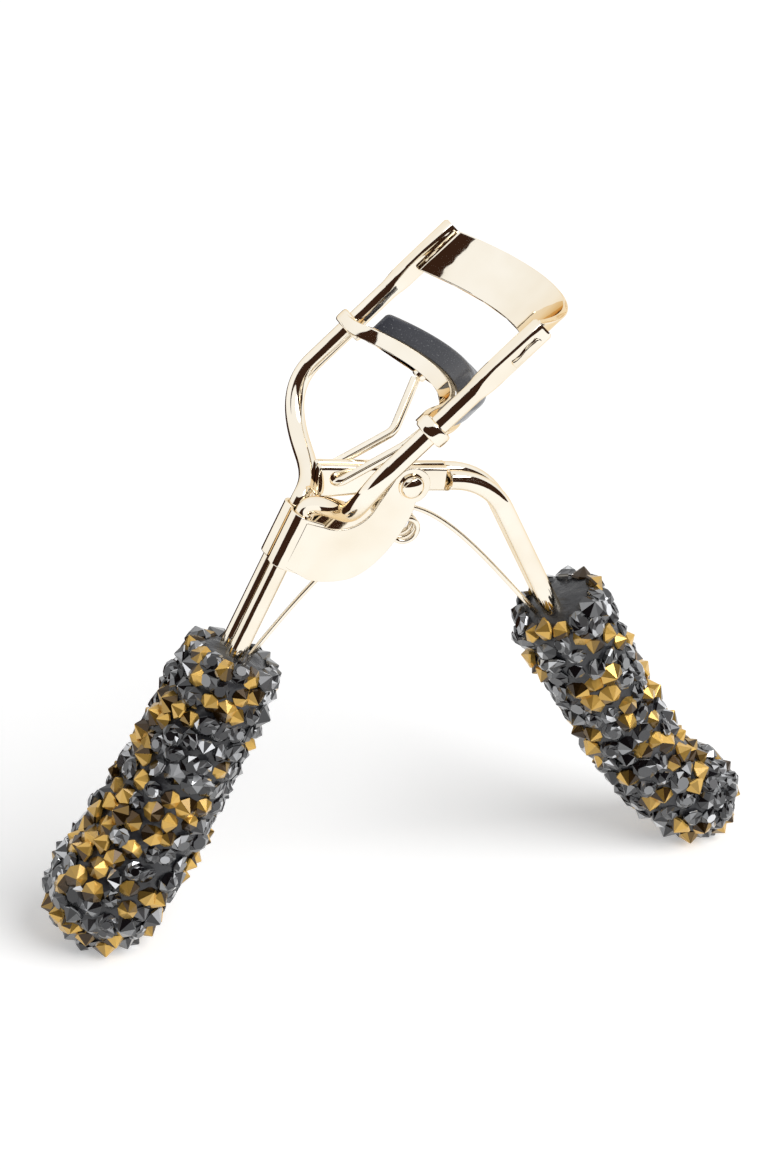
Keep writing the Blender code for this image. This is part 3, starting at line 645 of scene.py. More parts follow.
class CurlerFrameWires(bpy.types.Operator):
    """Make the two bent wires of the fixed frame, with their flattened blades"""

    bl_idname = "curler.frame_wires"
    bl_label = "Frame wires"

    def execute(self, context):
        sides = context.scene.curler_metal.wire_sides
        blade = HEAD_LENGTH - BLADE_LENGTH
        marks = [blade - BLADE_TAPER + BLADE_TAPER * i / 6 for i in range(7)]
        marks += [HEAD_LENGTH - 0.0003, HEAD_LENGTH]
        for name, side in SIDES.items():
            top = plane(SLEEVE_TOP, side * ROD_SIDE)
            foot = top + HANDLE_WAY * (handle_length() + ROD_DEPTH)
            middle = plane(CAGE_POINT, side * CAGE_REACH)
            slope = Vector((CAGE_SLOPE[0], side * CAGE_SLOPE[2], CAGE_SLOPE[1])).normalized()
            shoulder = head(SHOULDER_LENGTH, 0.0, side * HALF_HEAD)
            spread = CAGE_REACH - ROD_SIDE
            rise = HALF_HEAD - CAGE_REACH
            lower = bend(top, -HANDLE_WAY * spread * 0.28, middle, slope * spread * 0.66)
            upper = bend(middle, slope * rise * 0.64, shoulder, HEAD_WAY * rise * 0.64)
            path = [foot] + lower + upper[1:] + [head(mark, 0.0, side * HALF_HEAD) for mark in marks]
            bm = bmesh.new()
            rings = sweep(bm, path, [ROD_RADIUS] * len(path), sides)
            for ring, mark in zip(rings[-len(marks) :], marks):
                share = min(max((mark - blade + BLADE_TAPER) / BLADE_TAPER, 0.0), 1.0)
                share = share * share * (3 - 2 * share)
                end = 0.82 if mark == HEAD_LENGTH else 1.0
                press(
                    ring,
                    head(mark, 0.0, side * HALF_HEAD),
                    SIDE_WAY,
                    BOW_WAY,
                    end * (ROD_RADIUS + share * (BLADE_THICKNESS / 2 - ROD_RADIUS)),
                    end * (ROD_RADIUS + share * (BLADE_WIDTH / 2 - ROD_RADIUS)),
                    share,
                )
            finish_piece(
                f"frame_wire_{name}", bm, plating(), "frame", [f"frame_rod_{name}"], sharp=50.0
            )
        return {"FINISHED"}


class CurlerBracket(bpy.types.Operator):
    """Make the folded bracket: the sleeve round both wires and the two cheek plates"""

    bl_idname = "curler.bracket"
    bl_label = "Hinge bracket"

    def execute(self, context):
        edge = context.scene.curler_metal.edge
        across = Matrix((SIDE_WAY, HANDLE_WAY.cross(SIDE_WAY), HANDLE_WAY)).transposed().to_4x4()
        along = Matrix.Translation(plane(SLEEVE_TOP) + HANDLE_WAY * SLEEVE_DROP) @ across
        lobe = ROD_RADIUS + 0.0001 + SLEEVE_WALL / 2
        flap = 0.0024
        near = arc((-ROD_SIDE, 0.0), lobe, 180, 292, 18)
        far = arc((ROD_SIDE, 0.0), lobe, 248, 360, 18)
        groove = [(-0.0004, -0.00130), (-0.0002, -0.00125), (0.0, -0.00123), (0.0002, -0.00125), (0.0004, -0.00130)]
        reach = ROD_SIDE + lobe
        line = [(-reach, flap)] + near + groove + far + [(reach, flap)]
        bm = bmesh.new()
        raise_outline(bm, band(line, SLEEVE_WALL), 0.0, SLEEVE_LENGTH, along)
        soften(bm, edge)
        finish_piece("hinge_sleeve", bm, plating(), "frame", ["hinge_bracket"], sheet=True)
        top = Vector(SLEEVE_TOP)
        down = Vector((HANDLE_WAY.x, HANDLE_WAY.z))
        first = top + down * (SLEEVE_DROP + 0.0004)
        last = top + down * (SLEEVE_DROP + SLEEVE_LENGTH - 0.0004)
        outline = [tuple(first)] + arc(DIP_CENTRE, DIP_RADIUS, 240, 330, 30)
        boss = arc((0.0, 0.0), BOSS_PLATE_RADIUS, 140, -78, 40)
        belly = arc(CHEEK_CENTRE, CHEEK_RADIUS, -88, -112, 8)
        slope = [Vector((*point, 0.0)) for point in (boss[-1], CHEEK_SLOPE[0], CHEEK_SLOPE[1], belly[0])]
        outline += boss + [(x, y) for x, y, z in interpolate_bezier(*slope, 30)[1:-1]] + belly + [tuple(last)]
        for name, side in SIDES.items():
            low, high = sorted((side * CHEEK_INNER, side * CHEEK_OUTER))
            bm = bmesh.new()
            raise_outline(bm, outline, low, high, upright())
            soften(bm, edge)
            finish_piece(f"hinge_cheek_{name}", bm, plating(), "frame", sheet=True)
        return {"FINISHED"}


class CurlerUpperJaw(bpy.types.Operator):
    """Make the curved upper strip and the tabs that are staked through the blades"""

    bl_idname = "curler.upper_jaw"
    bl_label = "Upper jaw"

    def execute(self, context):
        edge = context.scene.curler_metal.edge
        flat = JAW_HALF + 0.0005
        line = [(-flat, TAB_BOW)] + jaw_arc(JAW_RADIUS, JAW_HALF) + [(flat, TAB_BOW)]
        bm = bmesh.new()
        raise_outline(bm, band(line, JAW_SHEET), 0.0, STRIP_HEIGHT)
        soften(bm, JAW_SHEET * 0.42, segments=5)
        lean_jaw(bm, JAW_RADIUS, STRIP_FOOT)
        finish_piece("upper_strip", bm, plating(), "frame", ["upper_jaw"], sheet=True)
        for name, side in SIDES.items():
            line = [(side * (flat - 0.0003), TAB_BOW), (side * TAB_TIP, TAB_BOW)]
            bm = bmesh.new()
            raise_outline(
                bm, band(line, JAW_SHEET), TAB_MARGIN, STRIP_HEIGHT - TAB_MARGIN, head_matrix(STRIP_FOOT)
            )
            bmesh.ops.subdivide_edges(bm, edges=bm.edges, cuts=5, use_grid_fill=True)
            soften(bm, edge * 2)
            for vert in bm.verts:
                vert.co += HEAD_WAY * noise.noise(vert.co * per_mm(0.7)) * 0.0004
                vert.co += BOW_WAY * noise.noise(vert.co * per_mm(0.9)) * 0.0003
            finish_piece(f"upper_tab_{name}", bm, plating(), "frame", sharp=60.0)
        return {"FINISHED"}


class CurlerPivot(bpy.types.Operator):
    """Make the domed rivet, and plate the spacers on its shank"""

    bl_idname = "curler.pivot"
    bl_label = "Pivot rivet"

    def execute(self, context):
        seat = CHEEK_OUTER + 0.00005
        rim = 0.00165
        dome = 0.00145
        rise = 0.0011
        curve = [math.radians(90 - 7.5 * i) for i in range(1, 12)]
        top = [(rim - 0.0001, 0.0), (rim, 0.0001), (rim - 0.00003, 0.00022), (dome + 0.00006, 0.00026), (dome, 0.0002)]
        top += [(dome * math.sin(a), 0.0002 + (rise - 0.0002) * math.cos(a)) for a in curve] + [(0.0, rise)]
        high = [(radius, seat + z) for radius, z in top]
        low = [(radius, -z) for radius, z in high]
        profile = low[::-1] + [(0.0009, -seat), (0.0009, seat)] + high
        turn = Matrix.Translation(PIVOT) @ Matrix.Rotation(math.radians(90), 4, "X")
        bm = bmesh.new()
        lathe(bm, profile, turn)
        finish_piece("rivet", bm, plating(), "frame", ["pivot_rivet"])
        for name in SIDES:
            spacer = frame["nodes"][f"pivot_spacer_{name}"]
            spacer.data.materials.clear()
            spacer.data.materials.append(plating())
        return {"FINISHED"}


class CurlerSpring(bpy.types.Operator):
    """Make the return spring, which bends from the frame to the lever"""

    bl_idname = "curler.spring"
    bl_label = "Return spring"

    def leg(self, side):
        y = side * COIL_TURNS * COIL_PITCH / 2
        top = plane((COIL_CENTRE[0], COIL_CENTRE[1] + COIL_RADIUS), y)
        end = plane((COIL_CENTRE[0] + LEG_ENDS[side][0], COIL_CENTRE[1] + COIL_RADIUS + LEG_ENDS[side][1]))
        way = Vector((side * math.cos(LEG_ANGLE), 0.0, -math.sin(LEG_ANGLE)))
        return bend(top, Vector((side * LEG_BULGE, 0.0, 0.0)), end, way * LEG_RUN, 30) + [end + way * 0.0006]

    def execute(self, context):
        coil = []
        curl = 28
        for i in range(1, COIL_TURNS * curl):
            turn = i / curl
            angle = math.pi / 2 - 2 * math.pi * turn
            x = COIL_CENTRE[0] + COIL_RADIUS * math.cos(angle)
            z = COIL_CENTRE[1] + COIL_RADIUS * math.sin(angle)
            coil.append(plane((x, z), (turn - COIL_TURNS / 2) * COIL_PITCH))
        moving = self.leg(1)
        path = self.leg(-1)[::-1] + coil + moving
        bm = bmesh.new()
        sweep(bm, path, [SPRING_RADIUS] * len(path), 14)
        spring = finish_piece("spring", bm, plating(), None, ["return_spring"], sharp=60.0)
        start = plane((COIL_CENTRE[0] + COIL_RADIUS, COIL_CENTRE[1] + COIL_RADIUS))
        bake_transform(spring, "frame", "lever", start=start, end=moving[-1])
        return {"FINISHED"}


# Lever, link and sliding jaw


class CurlerLeverWires(bpy.types.Operator):
    """Make the two lever wires, flattened from the link's hole to past the pivot"""

    bl_idname = "curler.lever_wires"
    bl_label = "Lever wires"

    def execute(self, context):
        sides = context.scene.curler_metal.wire_sides
        tip = -(PIVOT - LINK_HOLE).length - FLAT_REACH
        tip_half = (FLAT_RISE + FLAT_DROP) / 2
        tip_lift = (FLAT_RISE - FLAT_DROP) / 2
        neck = FLAT_LENGTH - 0.0004
        marks = []
        for a in [math.radians(a) for a in range(0, 91, 15)]:
            half = tip_half - FLAT_CORNER * (1 - math.sin(a))
            marks.append((tip + FLAT_CORNER * (1 - math.cos(a)), half, tip_lift, 1.0))
        marks += [(0.0, FLAT_HALF_HEIGHT, 0.0, 1.0), (neck, FLAT_HALF_HEIGHT, 0.0, 1.0)]
        for i in range(1, 6):
            half = FLAT_HALF_HEIGHT + (ROD_RADIUS - FLAT_HALF_HEIGHT) * i / 5
            marks.append((neck + 0.0001 * i, half, 0.0, 1.0 - i / 5))
        corners = [PIVOT + ARM_WAY * (FLAT_LENGTH + 0.0002), elbow(), elbow() + LEVER_WAY * (lever_drop() + ROD_DEPTH)]
        up = ARM_WAY.cross(SIDE_WAY)
        for name, side in SIDES.items():
            path = []
            for along, half, lift, flat in marks:
                y = side * (ROD_SIDE + flat * (FLAT_SIDE - ROD_SIDE))
                path.append(PIVOT + ARM_WAY * along + up * lift + SIDE_WAY * y)
            path += [corner + SIDE_WAY * side * ROD_SIDE for corner in rounded(corners, [ELBOW_RADIUS])]
            bm = bmesh.new()
            rings = sweep(bm, path, [ROD_RADIUS] * len(path), sides)
            for ring, place, (along, half, lift, flat) in zip(rings, path, marks):
                thick = ROD_RADIUS + flat * (FLAT_THICKNESS / 2 - ROD_RADIUS)
                press(ring, place, SIDE_WAY, up, thick, half, flat)
            finish_piece(
                f"lever_wire_{name}", bm, plating(), "lever", [f"lever_rod_{name}"], sharp=50.0
            )
        return {"FINISHED"}


class CurlerLink(bpy.types.Operator):
    """Make the wire yoke that pushes the sliding jaw"""

    bl_idname = "curler.link"
    bl_label = "Push link"

    def execute(self, context):
        tips = [head(LOWER_JAW_HEIGHT + BOSS_FOOT - LINK_TIP_GAP, BOSS_BOW, side * BOSS_SPREAD) for side in (1, -1)]
        hole = Vector((LINK_HOLE.x, 0.0, LINK_HOLE.z))
        corners = [tips[0], plane(LINK_KNEE, LINK_SIDE), hole + SIDE_WAY * LINK_SIDE]
        corners += [hole - SIDE_WAY * LINK_SIDE, plane(LINK_KNEE, -LINK_SIDE), tips[1]]
        radii = [LINK_KNEE_RADIUS, LINK_HOOK_RADIUS, LINK_HOOK_RADIUS, LINK_KNEE_RADIUS]
        path = rounded(corners, radii)
        bm = bmesh.new()
        sweep(bm, path, [LINK_RADIUS] * len(path), 24)
        finish_piece("link_wire", bm, plating(), "link", ["push_link"], sharp=50.0)
        return {"FINISHED"}


class CurlerLowerJaw(bpy.types.Operator):
    """Make the sliding jaw: its wall and floor, the guide eyes and the bosses for the link"""

    bl_idname = "curler.lower_jaw"
    bl_label = "Lower jaw"

    def execute(self, context):
        edge = context.scene.curler_metal.edge
        arch = [Vector((*point, 0.0)) for point in jaw_arc(WALL_RADIUS, HALF_HEAD - WALL_END)]
        wrap = (EYE_BORE + EYE_RADIUS) / 2
        way = (arch[-1] - arch[-2]).normalized()
        hook = bend(arch[-1], way * WALL_HOOK, Vector((HALF_HEAD, -wrap, 0.0)), Vector((WALL_HOOK, 0.0, 0.0)), 14)
        line = [(-x, y) for x, y, z in hook[:0:-1]] + [(x, y) for x, y, z in arch + hook[1:]]
        bm = bmesh.new()
        raise_outline(bm, band(line, LOWER_SHEET), 0.0, WALL_HEIGHT)
        for vert in bm.verts:
            share = min(max((abs(vert.co.x) - arch[-1].x) / (HALF_HEAD - arch[-1].x), 0.0), 1.0)
            share = share * share * (3 - 2 * share)
            own = JAW_LEAN * vert.co.y
            middle = (EYE_LOW + EYE_HIGH) / 2
            narrow = middle + (vert.co.z - WALL_HEIGHT / 2) * 0.55
            vert.co.z = (vert.co.z + own) * (1 - share) + narrow * share
        soften(bm, edge)
        bmesh.ops.transform(bm, matrix=head_matrix(LOWER_JAW_HEIGHT), verts=bm.verts)
        finish_piece("jaw_wall", bm, plating(), "jaw", ["lower_jaw"], sheet=True)
        inner = WALL_RADIUS
        outer = JAW_RADIUS + PAD_WIDTH / 2
        line = jaw_arc((inner + outer) / 2, HALF_HEAD - FLOOR_END)
        bm = bmesh.new()
        raise_outline(bm, band(line, outer - inner), 0.0, LOWER_SHEET)
        soften(bm, edge)
        lean_jaw(bm, WALL_RADIUS, LOWER_JAW_HEIGHT)
        finish_piece("jaw_floor", bm, plating(), "jaw", sheet=True)
        half = (EYE_HIGH - EYE_LOW) / 2
        bulge = [math.radians(a) for a in range(-90, 91, 15)]
        profile = [(EYE_BORE, EYE_LOW + half / 2), (EYE_BORE, EYE_HIGH - half / 2)]
        for a in reversed(bulge):
            rise = math.copysign(abs(math.sin(a)) ** 0.6, a) * half
            profile.append((EYE_BORE + (EYE_RADIUS - EYE_BORE) * (0.3 + 0.7 * math.cos(a) ** 0.6), EYE_LOW + half + rise))
        boss = [(0.0, 0.0), (BOSS_RADIUS - 0.0002, 0.0), (BOSS_RADIUS, 0.0002), (BOSS_RADIUS, 0.0021), (0.0, 0.0021)]
        for name, side in SIDES.items():
            bm = bmesh.new()
            axis = head_matrix(LOWER_JAW_HEIGHT) @ Matrix.Translation((side * HALF_HEAD, 0.0, 0.0))
            lathe(bm, profile, axis, closed=True)
            finish_piece(f"eye_{name}", bm, plating(), "jaw", [f"guide_eye_{name}"], sharp=60.0)
            bm = bmesh.new()
            place = Matrix.Translation((side * BOSS_SPREAD, BOSS_BOW, BOSS_FOOT))
            lathe(bm, boss, head_matrix(LOWER_JAW_HEIGHT) @ place)
            finish_piece(f"boss_{name}", bm, plating(), "jaw", [f"link_boss_{name}"])
        return {"FINISHED"}


class CurlerRubberPad(bpy.types.Operator):
    """Make the rubber strip on the sliding jaw"""

    bl_idname = "curler.rubber_pad"
    bl_label = "Rubber pad"

    def execute(self, context):
        outline = band(jaw_arc(JAW_RADIUS, HALF_HEAD - PAD_END), PAD_WIDTH)
        bm = bmesh.new()
        raise_outline(bm, outline, PAD_FOOT, PAD_FOOT + PAD_HEIGHT)
        soften(bm, context.scene.curler_pad.edge, segments=5)
        lean_jaw(bm, JAW_RADIUS, LOWER_JAW_HEIGHT)
        finish_piece("rubber_strip", bm, rubber(), "jaw", ["jaw_pad"], sharp=60.0, sheet=True)
        return {"FINISHED"}


# Grips and stones


class CurlerGripBeds(bpy.types.Operator):
    """Make the resin body of each grip, in which the wires and stones sit"""

    bl_idname = "curler.grip_beds"
    bl_label = "Grip resin"

    def execute(self, context):
        depth = STONE_SUNK + context.scene.curler_stones.bed_depth
        for name, grip in GRIPS.items():
            axis = grip_axis(grip)
            radii = [radius - depth for radius in grip_radii(grip)]
            ways = directions(axis)
            cap = [math.radians(6 * i) for i in range(1, 15)]
            path = axis + [axis[-1] + ways[-1] * radii[-1] * math.sin(a) for a in cap]
            radii = radii + [radii[-1] * math.cos(a) for a in cap]
            dome = [math.radians(9 * i) for i in range(1, 10)]
            rise = 0.0019
            path = [axis[0] + ways[0] * (0.0013 - rise * math.cos(a)) for a in dome] + path[1:]
            radii = [radii[0] * math.sin(a) for a in dome] + radii[1:]
            bm = bmesh.new()
            sweep(bm, path, radii, 64)
            bmesh.ops.recalc_face_normals(bm, faces=bm.faces)
            bm.normal_update()
            for vert in bm.verts:
                lump = noise.noise(vert.co * per_mm(2.0)) * 0.0003 + noise.noise(vert.co * per_mm(0.9)) * 0.0001
                vert.co += vert.normal * lump
            nodes = [f"{name}_grip_core", f"{name}_grip_jacket"]
            body = "frame" if name == "fixed" else "lever"
            finish_piece(f"{name}_grip_resin", bm, resin(), body, nodes, sharp=70.0)
        return {"FINISHED"}


def stone_mesh(name, sides, rings):
    """A cut stone of unit radius, with its girdle at the origin.

    Each ring is (rise, size, turn) from the ring before it, outwards where it rises.
    """
    bm = bmesh.new()
    bmesh.ops.create_circle(bm, cap_ends=True, segments=sides, radius=1.0)
    for rise, size, turn in rings:
        end = max if rise > 0 else min
        face = end(bm.faces, key=lambda cap: cap.calc_center_median().z)
        grown = bmesh.ops.extrude_face_region(bm, geom=[face])["geom"]
        ring = [item for item in grown if is_vert(item)]
        bmesh.ops.translate(bm, verts=ring, vec=(0.0, 0.0, rise))
        bmesh.ops.scale(bm, verts=ring, vec=(size, size, 1.0))
        bmesh.ops.rotate(bm, verts=ring, cent=(0, 0, 0), matrix=Matrix.Rotation(math.pi / sides * turn, 3, "Z"))
    bmesh.ops.recalc_face_normals(bm, faces=bm.faces)
    mesh = bpy.data.meshes.new(name)
    bm.to_mesh(mesh)
    bm.free()
    return mesh


def crust_levels(grip):
    """Rings of the grip's crust from its top to its end, as (centre, way, radius)."""
    axis = grip_axis(grip)
    radii = [radius - STONE_SUNK for radius in grip_radii(grip)]
    ways = [(b - a).normalized() for a, b in zip(axis, axis[1:])]
    ways.append(ways[-1])
    run = [0.0]
    for a, b in zip(axis, axis[1:]):
        run.append(run[-1] + (b - a).length)
    rows = round((run[-1] - RIM_ROUND) / STONE_CELL)
    levels = [(axis[0], ways[0], radii[0] - RIM_ROUND)]
    for i in range(rows + 1):
        along = RIM_ROUND + (run[-1] - RIM_ROUND) * i / rows
        step = next((k for k in range(1, len(run)) if run[k] >= along), len(run) - 1)
        share = (along - run[step - 1]) / (run[step] - run[step - 1])
        way = ways[step - 1].lerp(ways[step], share).normalized()
        radius = radii[step - 1] + (radii[step] - radii[step - 1]) * share
        levels.append((axis[step - 1].lerp(axis[step], share), way, radius))
    for i in range(1, CAP_ROWS + 1):
        lean = CAP_REACH * i / CAP_ROWS
        centre = axis[-1] + ways[-1] * radii[-1] * math.sin(lean)
        levels.append((centre, ways[-1], radii[-1] * math.cos(lean)))
    return levels


def wander(row, column, salt):
    """The part's own irregular number between -1 and 1 for each corner of the cells."""
    return 2 * (math.sin(row * 12.9898 + column * 78.233 + salt) * 43758.5453 % 1.0) - 1


def stone_seats(grip):
    """The middle and outward way of each cell of the part's crust, where a stone is set."""
    levels = crust_levels(grip)
    columns = 2 * round(math.pi * max(level[2] for level in levels) / STONE_CELL)
    foot_row = len(levels) - 1 - CAP_ROWS + int((math.pi / 2 - grip["end_angle"]) / CAP_REACH * CAP_ROWS)
    rings = []
    for row, (centre, way, radius) in enumerate(levels):
        stride = 2 if row == len(levels) - 1 else 1
        free = 0.0 if row < 2 else STONE_WANDER
        down = way.cross(SIDE_WAY) if way.cross(SIDE_WAY).z < 0 else SIDE_WAY.cross(way)
        ring = []
        for column in range(0, columns, stride):
            place = column + (row - foot_row) / 2 + 1 / 4
            turn = 2 * math.pi * place / columns + wander(row, column, 1) * free / radius
            out = down * math.cos(turn) + SIDE_WAY * math.sin(turn)
            ring.append(centre + out * radius + way * wander(row, column, 2) * free)
        rings.append(ring)
    seats = []
    for upper, lower, level in zip(rings, rings[1:], levels):
        stride = len(upper) // len(lower)
        for j in range(len(lower)):
            cell = [upper[(stride * j + k) % len(upper)] for k in range(stride + 1)]
            cell += [lower[(j + 1) % len(lower)], lower[j]]
            middle = sum(cell, Vector()) / len(cell)
            normal = (cell[2] - cell[0]).cross(cell[-1] - cell[1]).normalized()
            seats.append((middle, normal if normal.dot(middle - level[0]) > 0 else -normal))
    seats.append((sum(rings[-1], Vector()) / len(rings[-1]), levels[-1][1]))
    return seats


# Cuts as (sides, rings): a pointed back, a finely cut back, a brilliant front and a plain dome
CROWN = [(-0.12, 1.0, 0.0), (-0.3, 0.62, 0.0)]
GOLD_CUTS = [(8, [(0.06, 1.0, 0.0), (0.82, 0.05, 0.0)])]
SMOKE_CUTS = [
    (8, [(0.06, 1.0, 0.0), (0.78, 0.06, 0.0)]),
    (8, [(0.08, 1.0, 0.0), (0.42, 0.6, 1.0), (0.34, 0.08, 1.0)]),
    (8, [(0.1, 1.0, 0.0), (0.36, 0.56, 1.0)]),
    (10, [(0.1, 1.0, 0.0), (0.26, 0.72, 1.0), (0.12, 0.6, 1.0)]),
]


class CurlerStoneSetting(bpy.types.Operator):
    """Set a cut stone in each cell of both grips, in patches of gold and smoky ones"""

    bl_idname = "curler.stone_setting"
    bl_label = "Stones"

    def execute(self, context):
        settings = context.scene.curler_stones
        # Ramps for the painted facet light: from painted shade through the stones' own colour to painted highlights
        # and glints.
        gold = [(0.0, tuple(c * 0.5 for c in settings.gold_shade)), (0.25, settings.gold_shade)]
        gold += [(0.38, tuple(c * 0.55 for c in settings.gold)), (0.8, settings.gold)]
        smoke = [(0.0, tuple(c * 0.5 for c in settings.smoke_shade)), (0.45, settings.smoke_shade)]
        smoke += [(0.65, tuple(c * 0.13 for c in settings.smoke)), (0.9, tuple(c * 0.3 for c in settings.smoke))]
        smoke += [(1.0, settings.smoke)]
        kinds = {
            "gold": (stone_material("gold_foiled_glass", gold, 0.6, 0.22, 0.4), GOLD_CUTS),
            "smoke": (stone_material("smoky_cut_glass", smoke, 0.55, 0.07, 1.0), SMOKE_CUTS),
        }
        for name, grip in GRIPS.items():
            draw = random.Random(settings.seed + grip["side"])
            shapes = {}
            meshes = {}
            for kind, (material, cuts) in kinds.items():
                shapes[kind] = [stone_mesh(f"{kind}_cut", sides, rings + CROWN) for sides, rings in cuts]
                meshes[kind] = bmesh.new()
                meshes[kind].faces.layers.float.new("tone")
            for point, normal in stone_seats(grip):
                patch = noise.noise(point / STONE_PATCH + Vector((settings.seed, 0.0, 0.0)))
                golden = 0.5 + 0.6 * patch + draw.uniform(-0.42, 0.42) < settings.gold_share
                kind = "gold" if golden else "smoke"
                self.set_stone(meshes[kind], draw.choice(shapes[kind]), point, normal, settings, draw, golden)
            body = "frame" if name == "fixed" else "lever"
            for kind, (material, cuts) in kinds.items():
                mesh = bpy.data.meshes.new(f"{name}_grip_{kind}_stones")
                meshes[kind].to_mesh(mesh)
                meshes[kind].free()
                mesh.materials.append(material)
                piece = bpy.data.objects.new(mesh.name, mesh)
                bpy.context.scene.collection.objects.link(piece)
                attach(piece, body)
        return {"FINISHED"}

    def set_stone(self, bm, shape, point, normal, settings, draw, golden):
        """Adds one stone, leant and turned at random, sunk in the resin and clear of the floor, with painted light and
        shade on its facets.
        """
        lean = Vector((draw.gauss(0.0, 1.0), draw.gauss(0.0, 1.0), draw.gauss(0.0, 1.0))).normalized()
        way = (normal + lean * math.tan(settings.tilt) * draw.random()).normalized()
        size = settings.width / 2 * draw.uniform(0.82, 1.1)
        stray = lean.cross(normal) * draw.uniform(0.0, settings.stray)
        seat = point + stray + normal * draw.uniform(-0.12, 0.2) * size
        spin = Matrix.Rotation(draw.uniform(0.0, 2 * math.pi), 4, "Z")
        turn = way.to_track_quat("Z", "Y").to_matrix().to_4x4()
        place = Matrix.Translation(seat) @ turn @ spin @ Matrix.Scale(size, 4)
        first_vert = len(bm.verts)
        first_face = len(bm.faces)
        bm.from_mesh(shape)
        bm.verts.ensure_lookup_table()
        bm.faces.ensure_lookup_table()
        verts = bm.verts[first_vert:]
        bmesh.ops.transform(bm, matrix=place, verts=verts)
        low = min(vert.co.z for vert in verts)
        if low < 0.0:
            bmesh.ops.translate(bm, verts=verts, vec=(0.0, 0.0, -low))
        # Painted light on the facets: a gold stone's facets on one side of a random way get a painted highlight and
        # the far side painted shade; a smoky stone's facets get painted glints and shade at random.
        tone = bm.faces.layers.float["tone"]
        painted_light_way = place.to_3x3() @ Vector((1.0, 0.0, 0.0))
        for face in bm.faces[first_face:]:
            if golden:
                side = (face.calc_center_median() - seat).dot(painted_light_way) / size**2
                face[tone] = min(max(0.5 + side + draw.uniform(-0.35, 0.35), 0.0), 1.0)
            else:
                face[tone] = draw.random()


# Stage: lengths in metres, turns in degrees from +X, and light levels of which one is white
SCREEN_REACH = 0.9
SCREEN_HEIGHT = 0.89
FLAG_REACH = (0.08, 0.6)
FLAG_TURN = (75, 150)
FLAG_LIFT = 0.0005
FLOOR_GLOW = 0.36
ROOM_LIGHT = 0.28
LAMP_PLACE = Vector((0.65, -0.75, 0.9))
LAMP_SPREAD = math.radians(50)
LAMP_POWER = 2.4


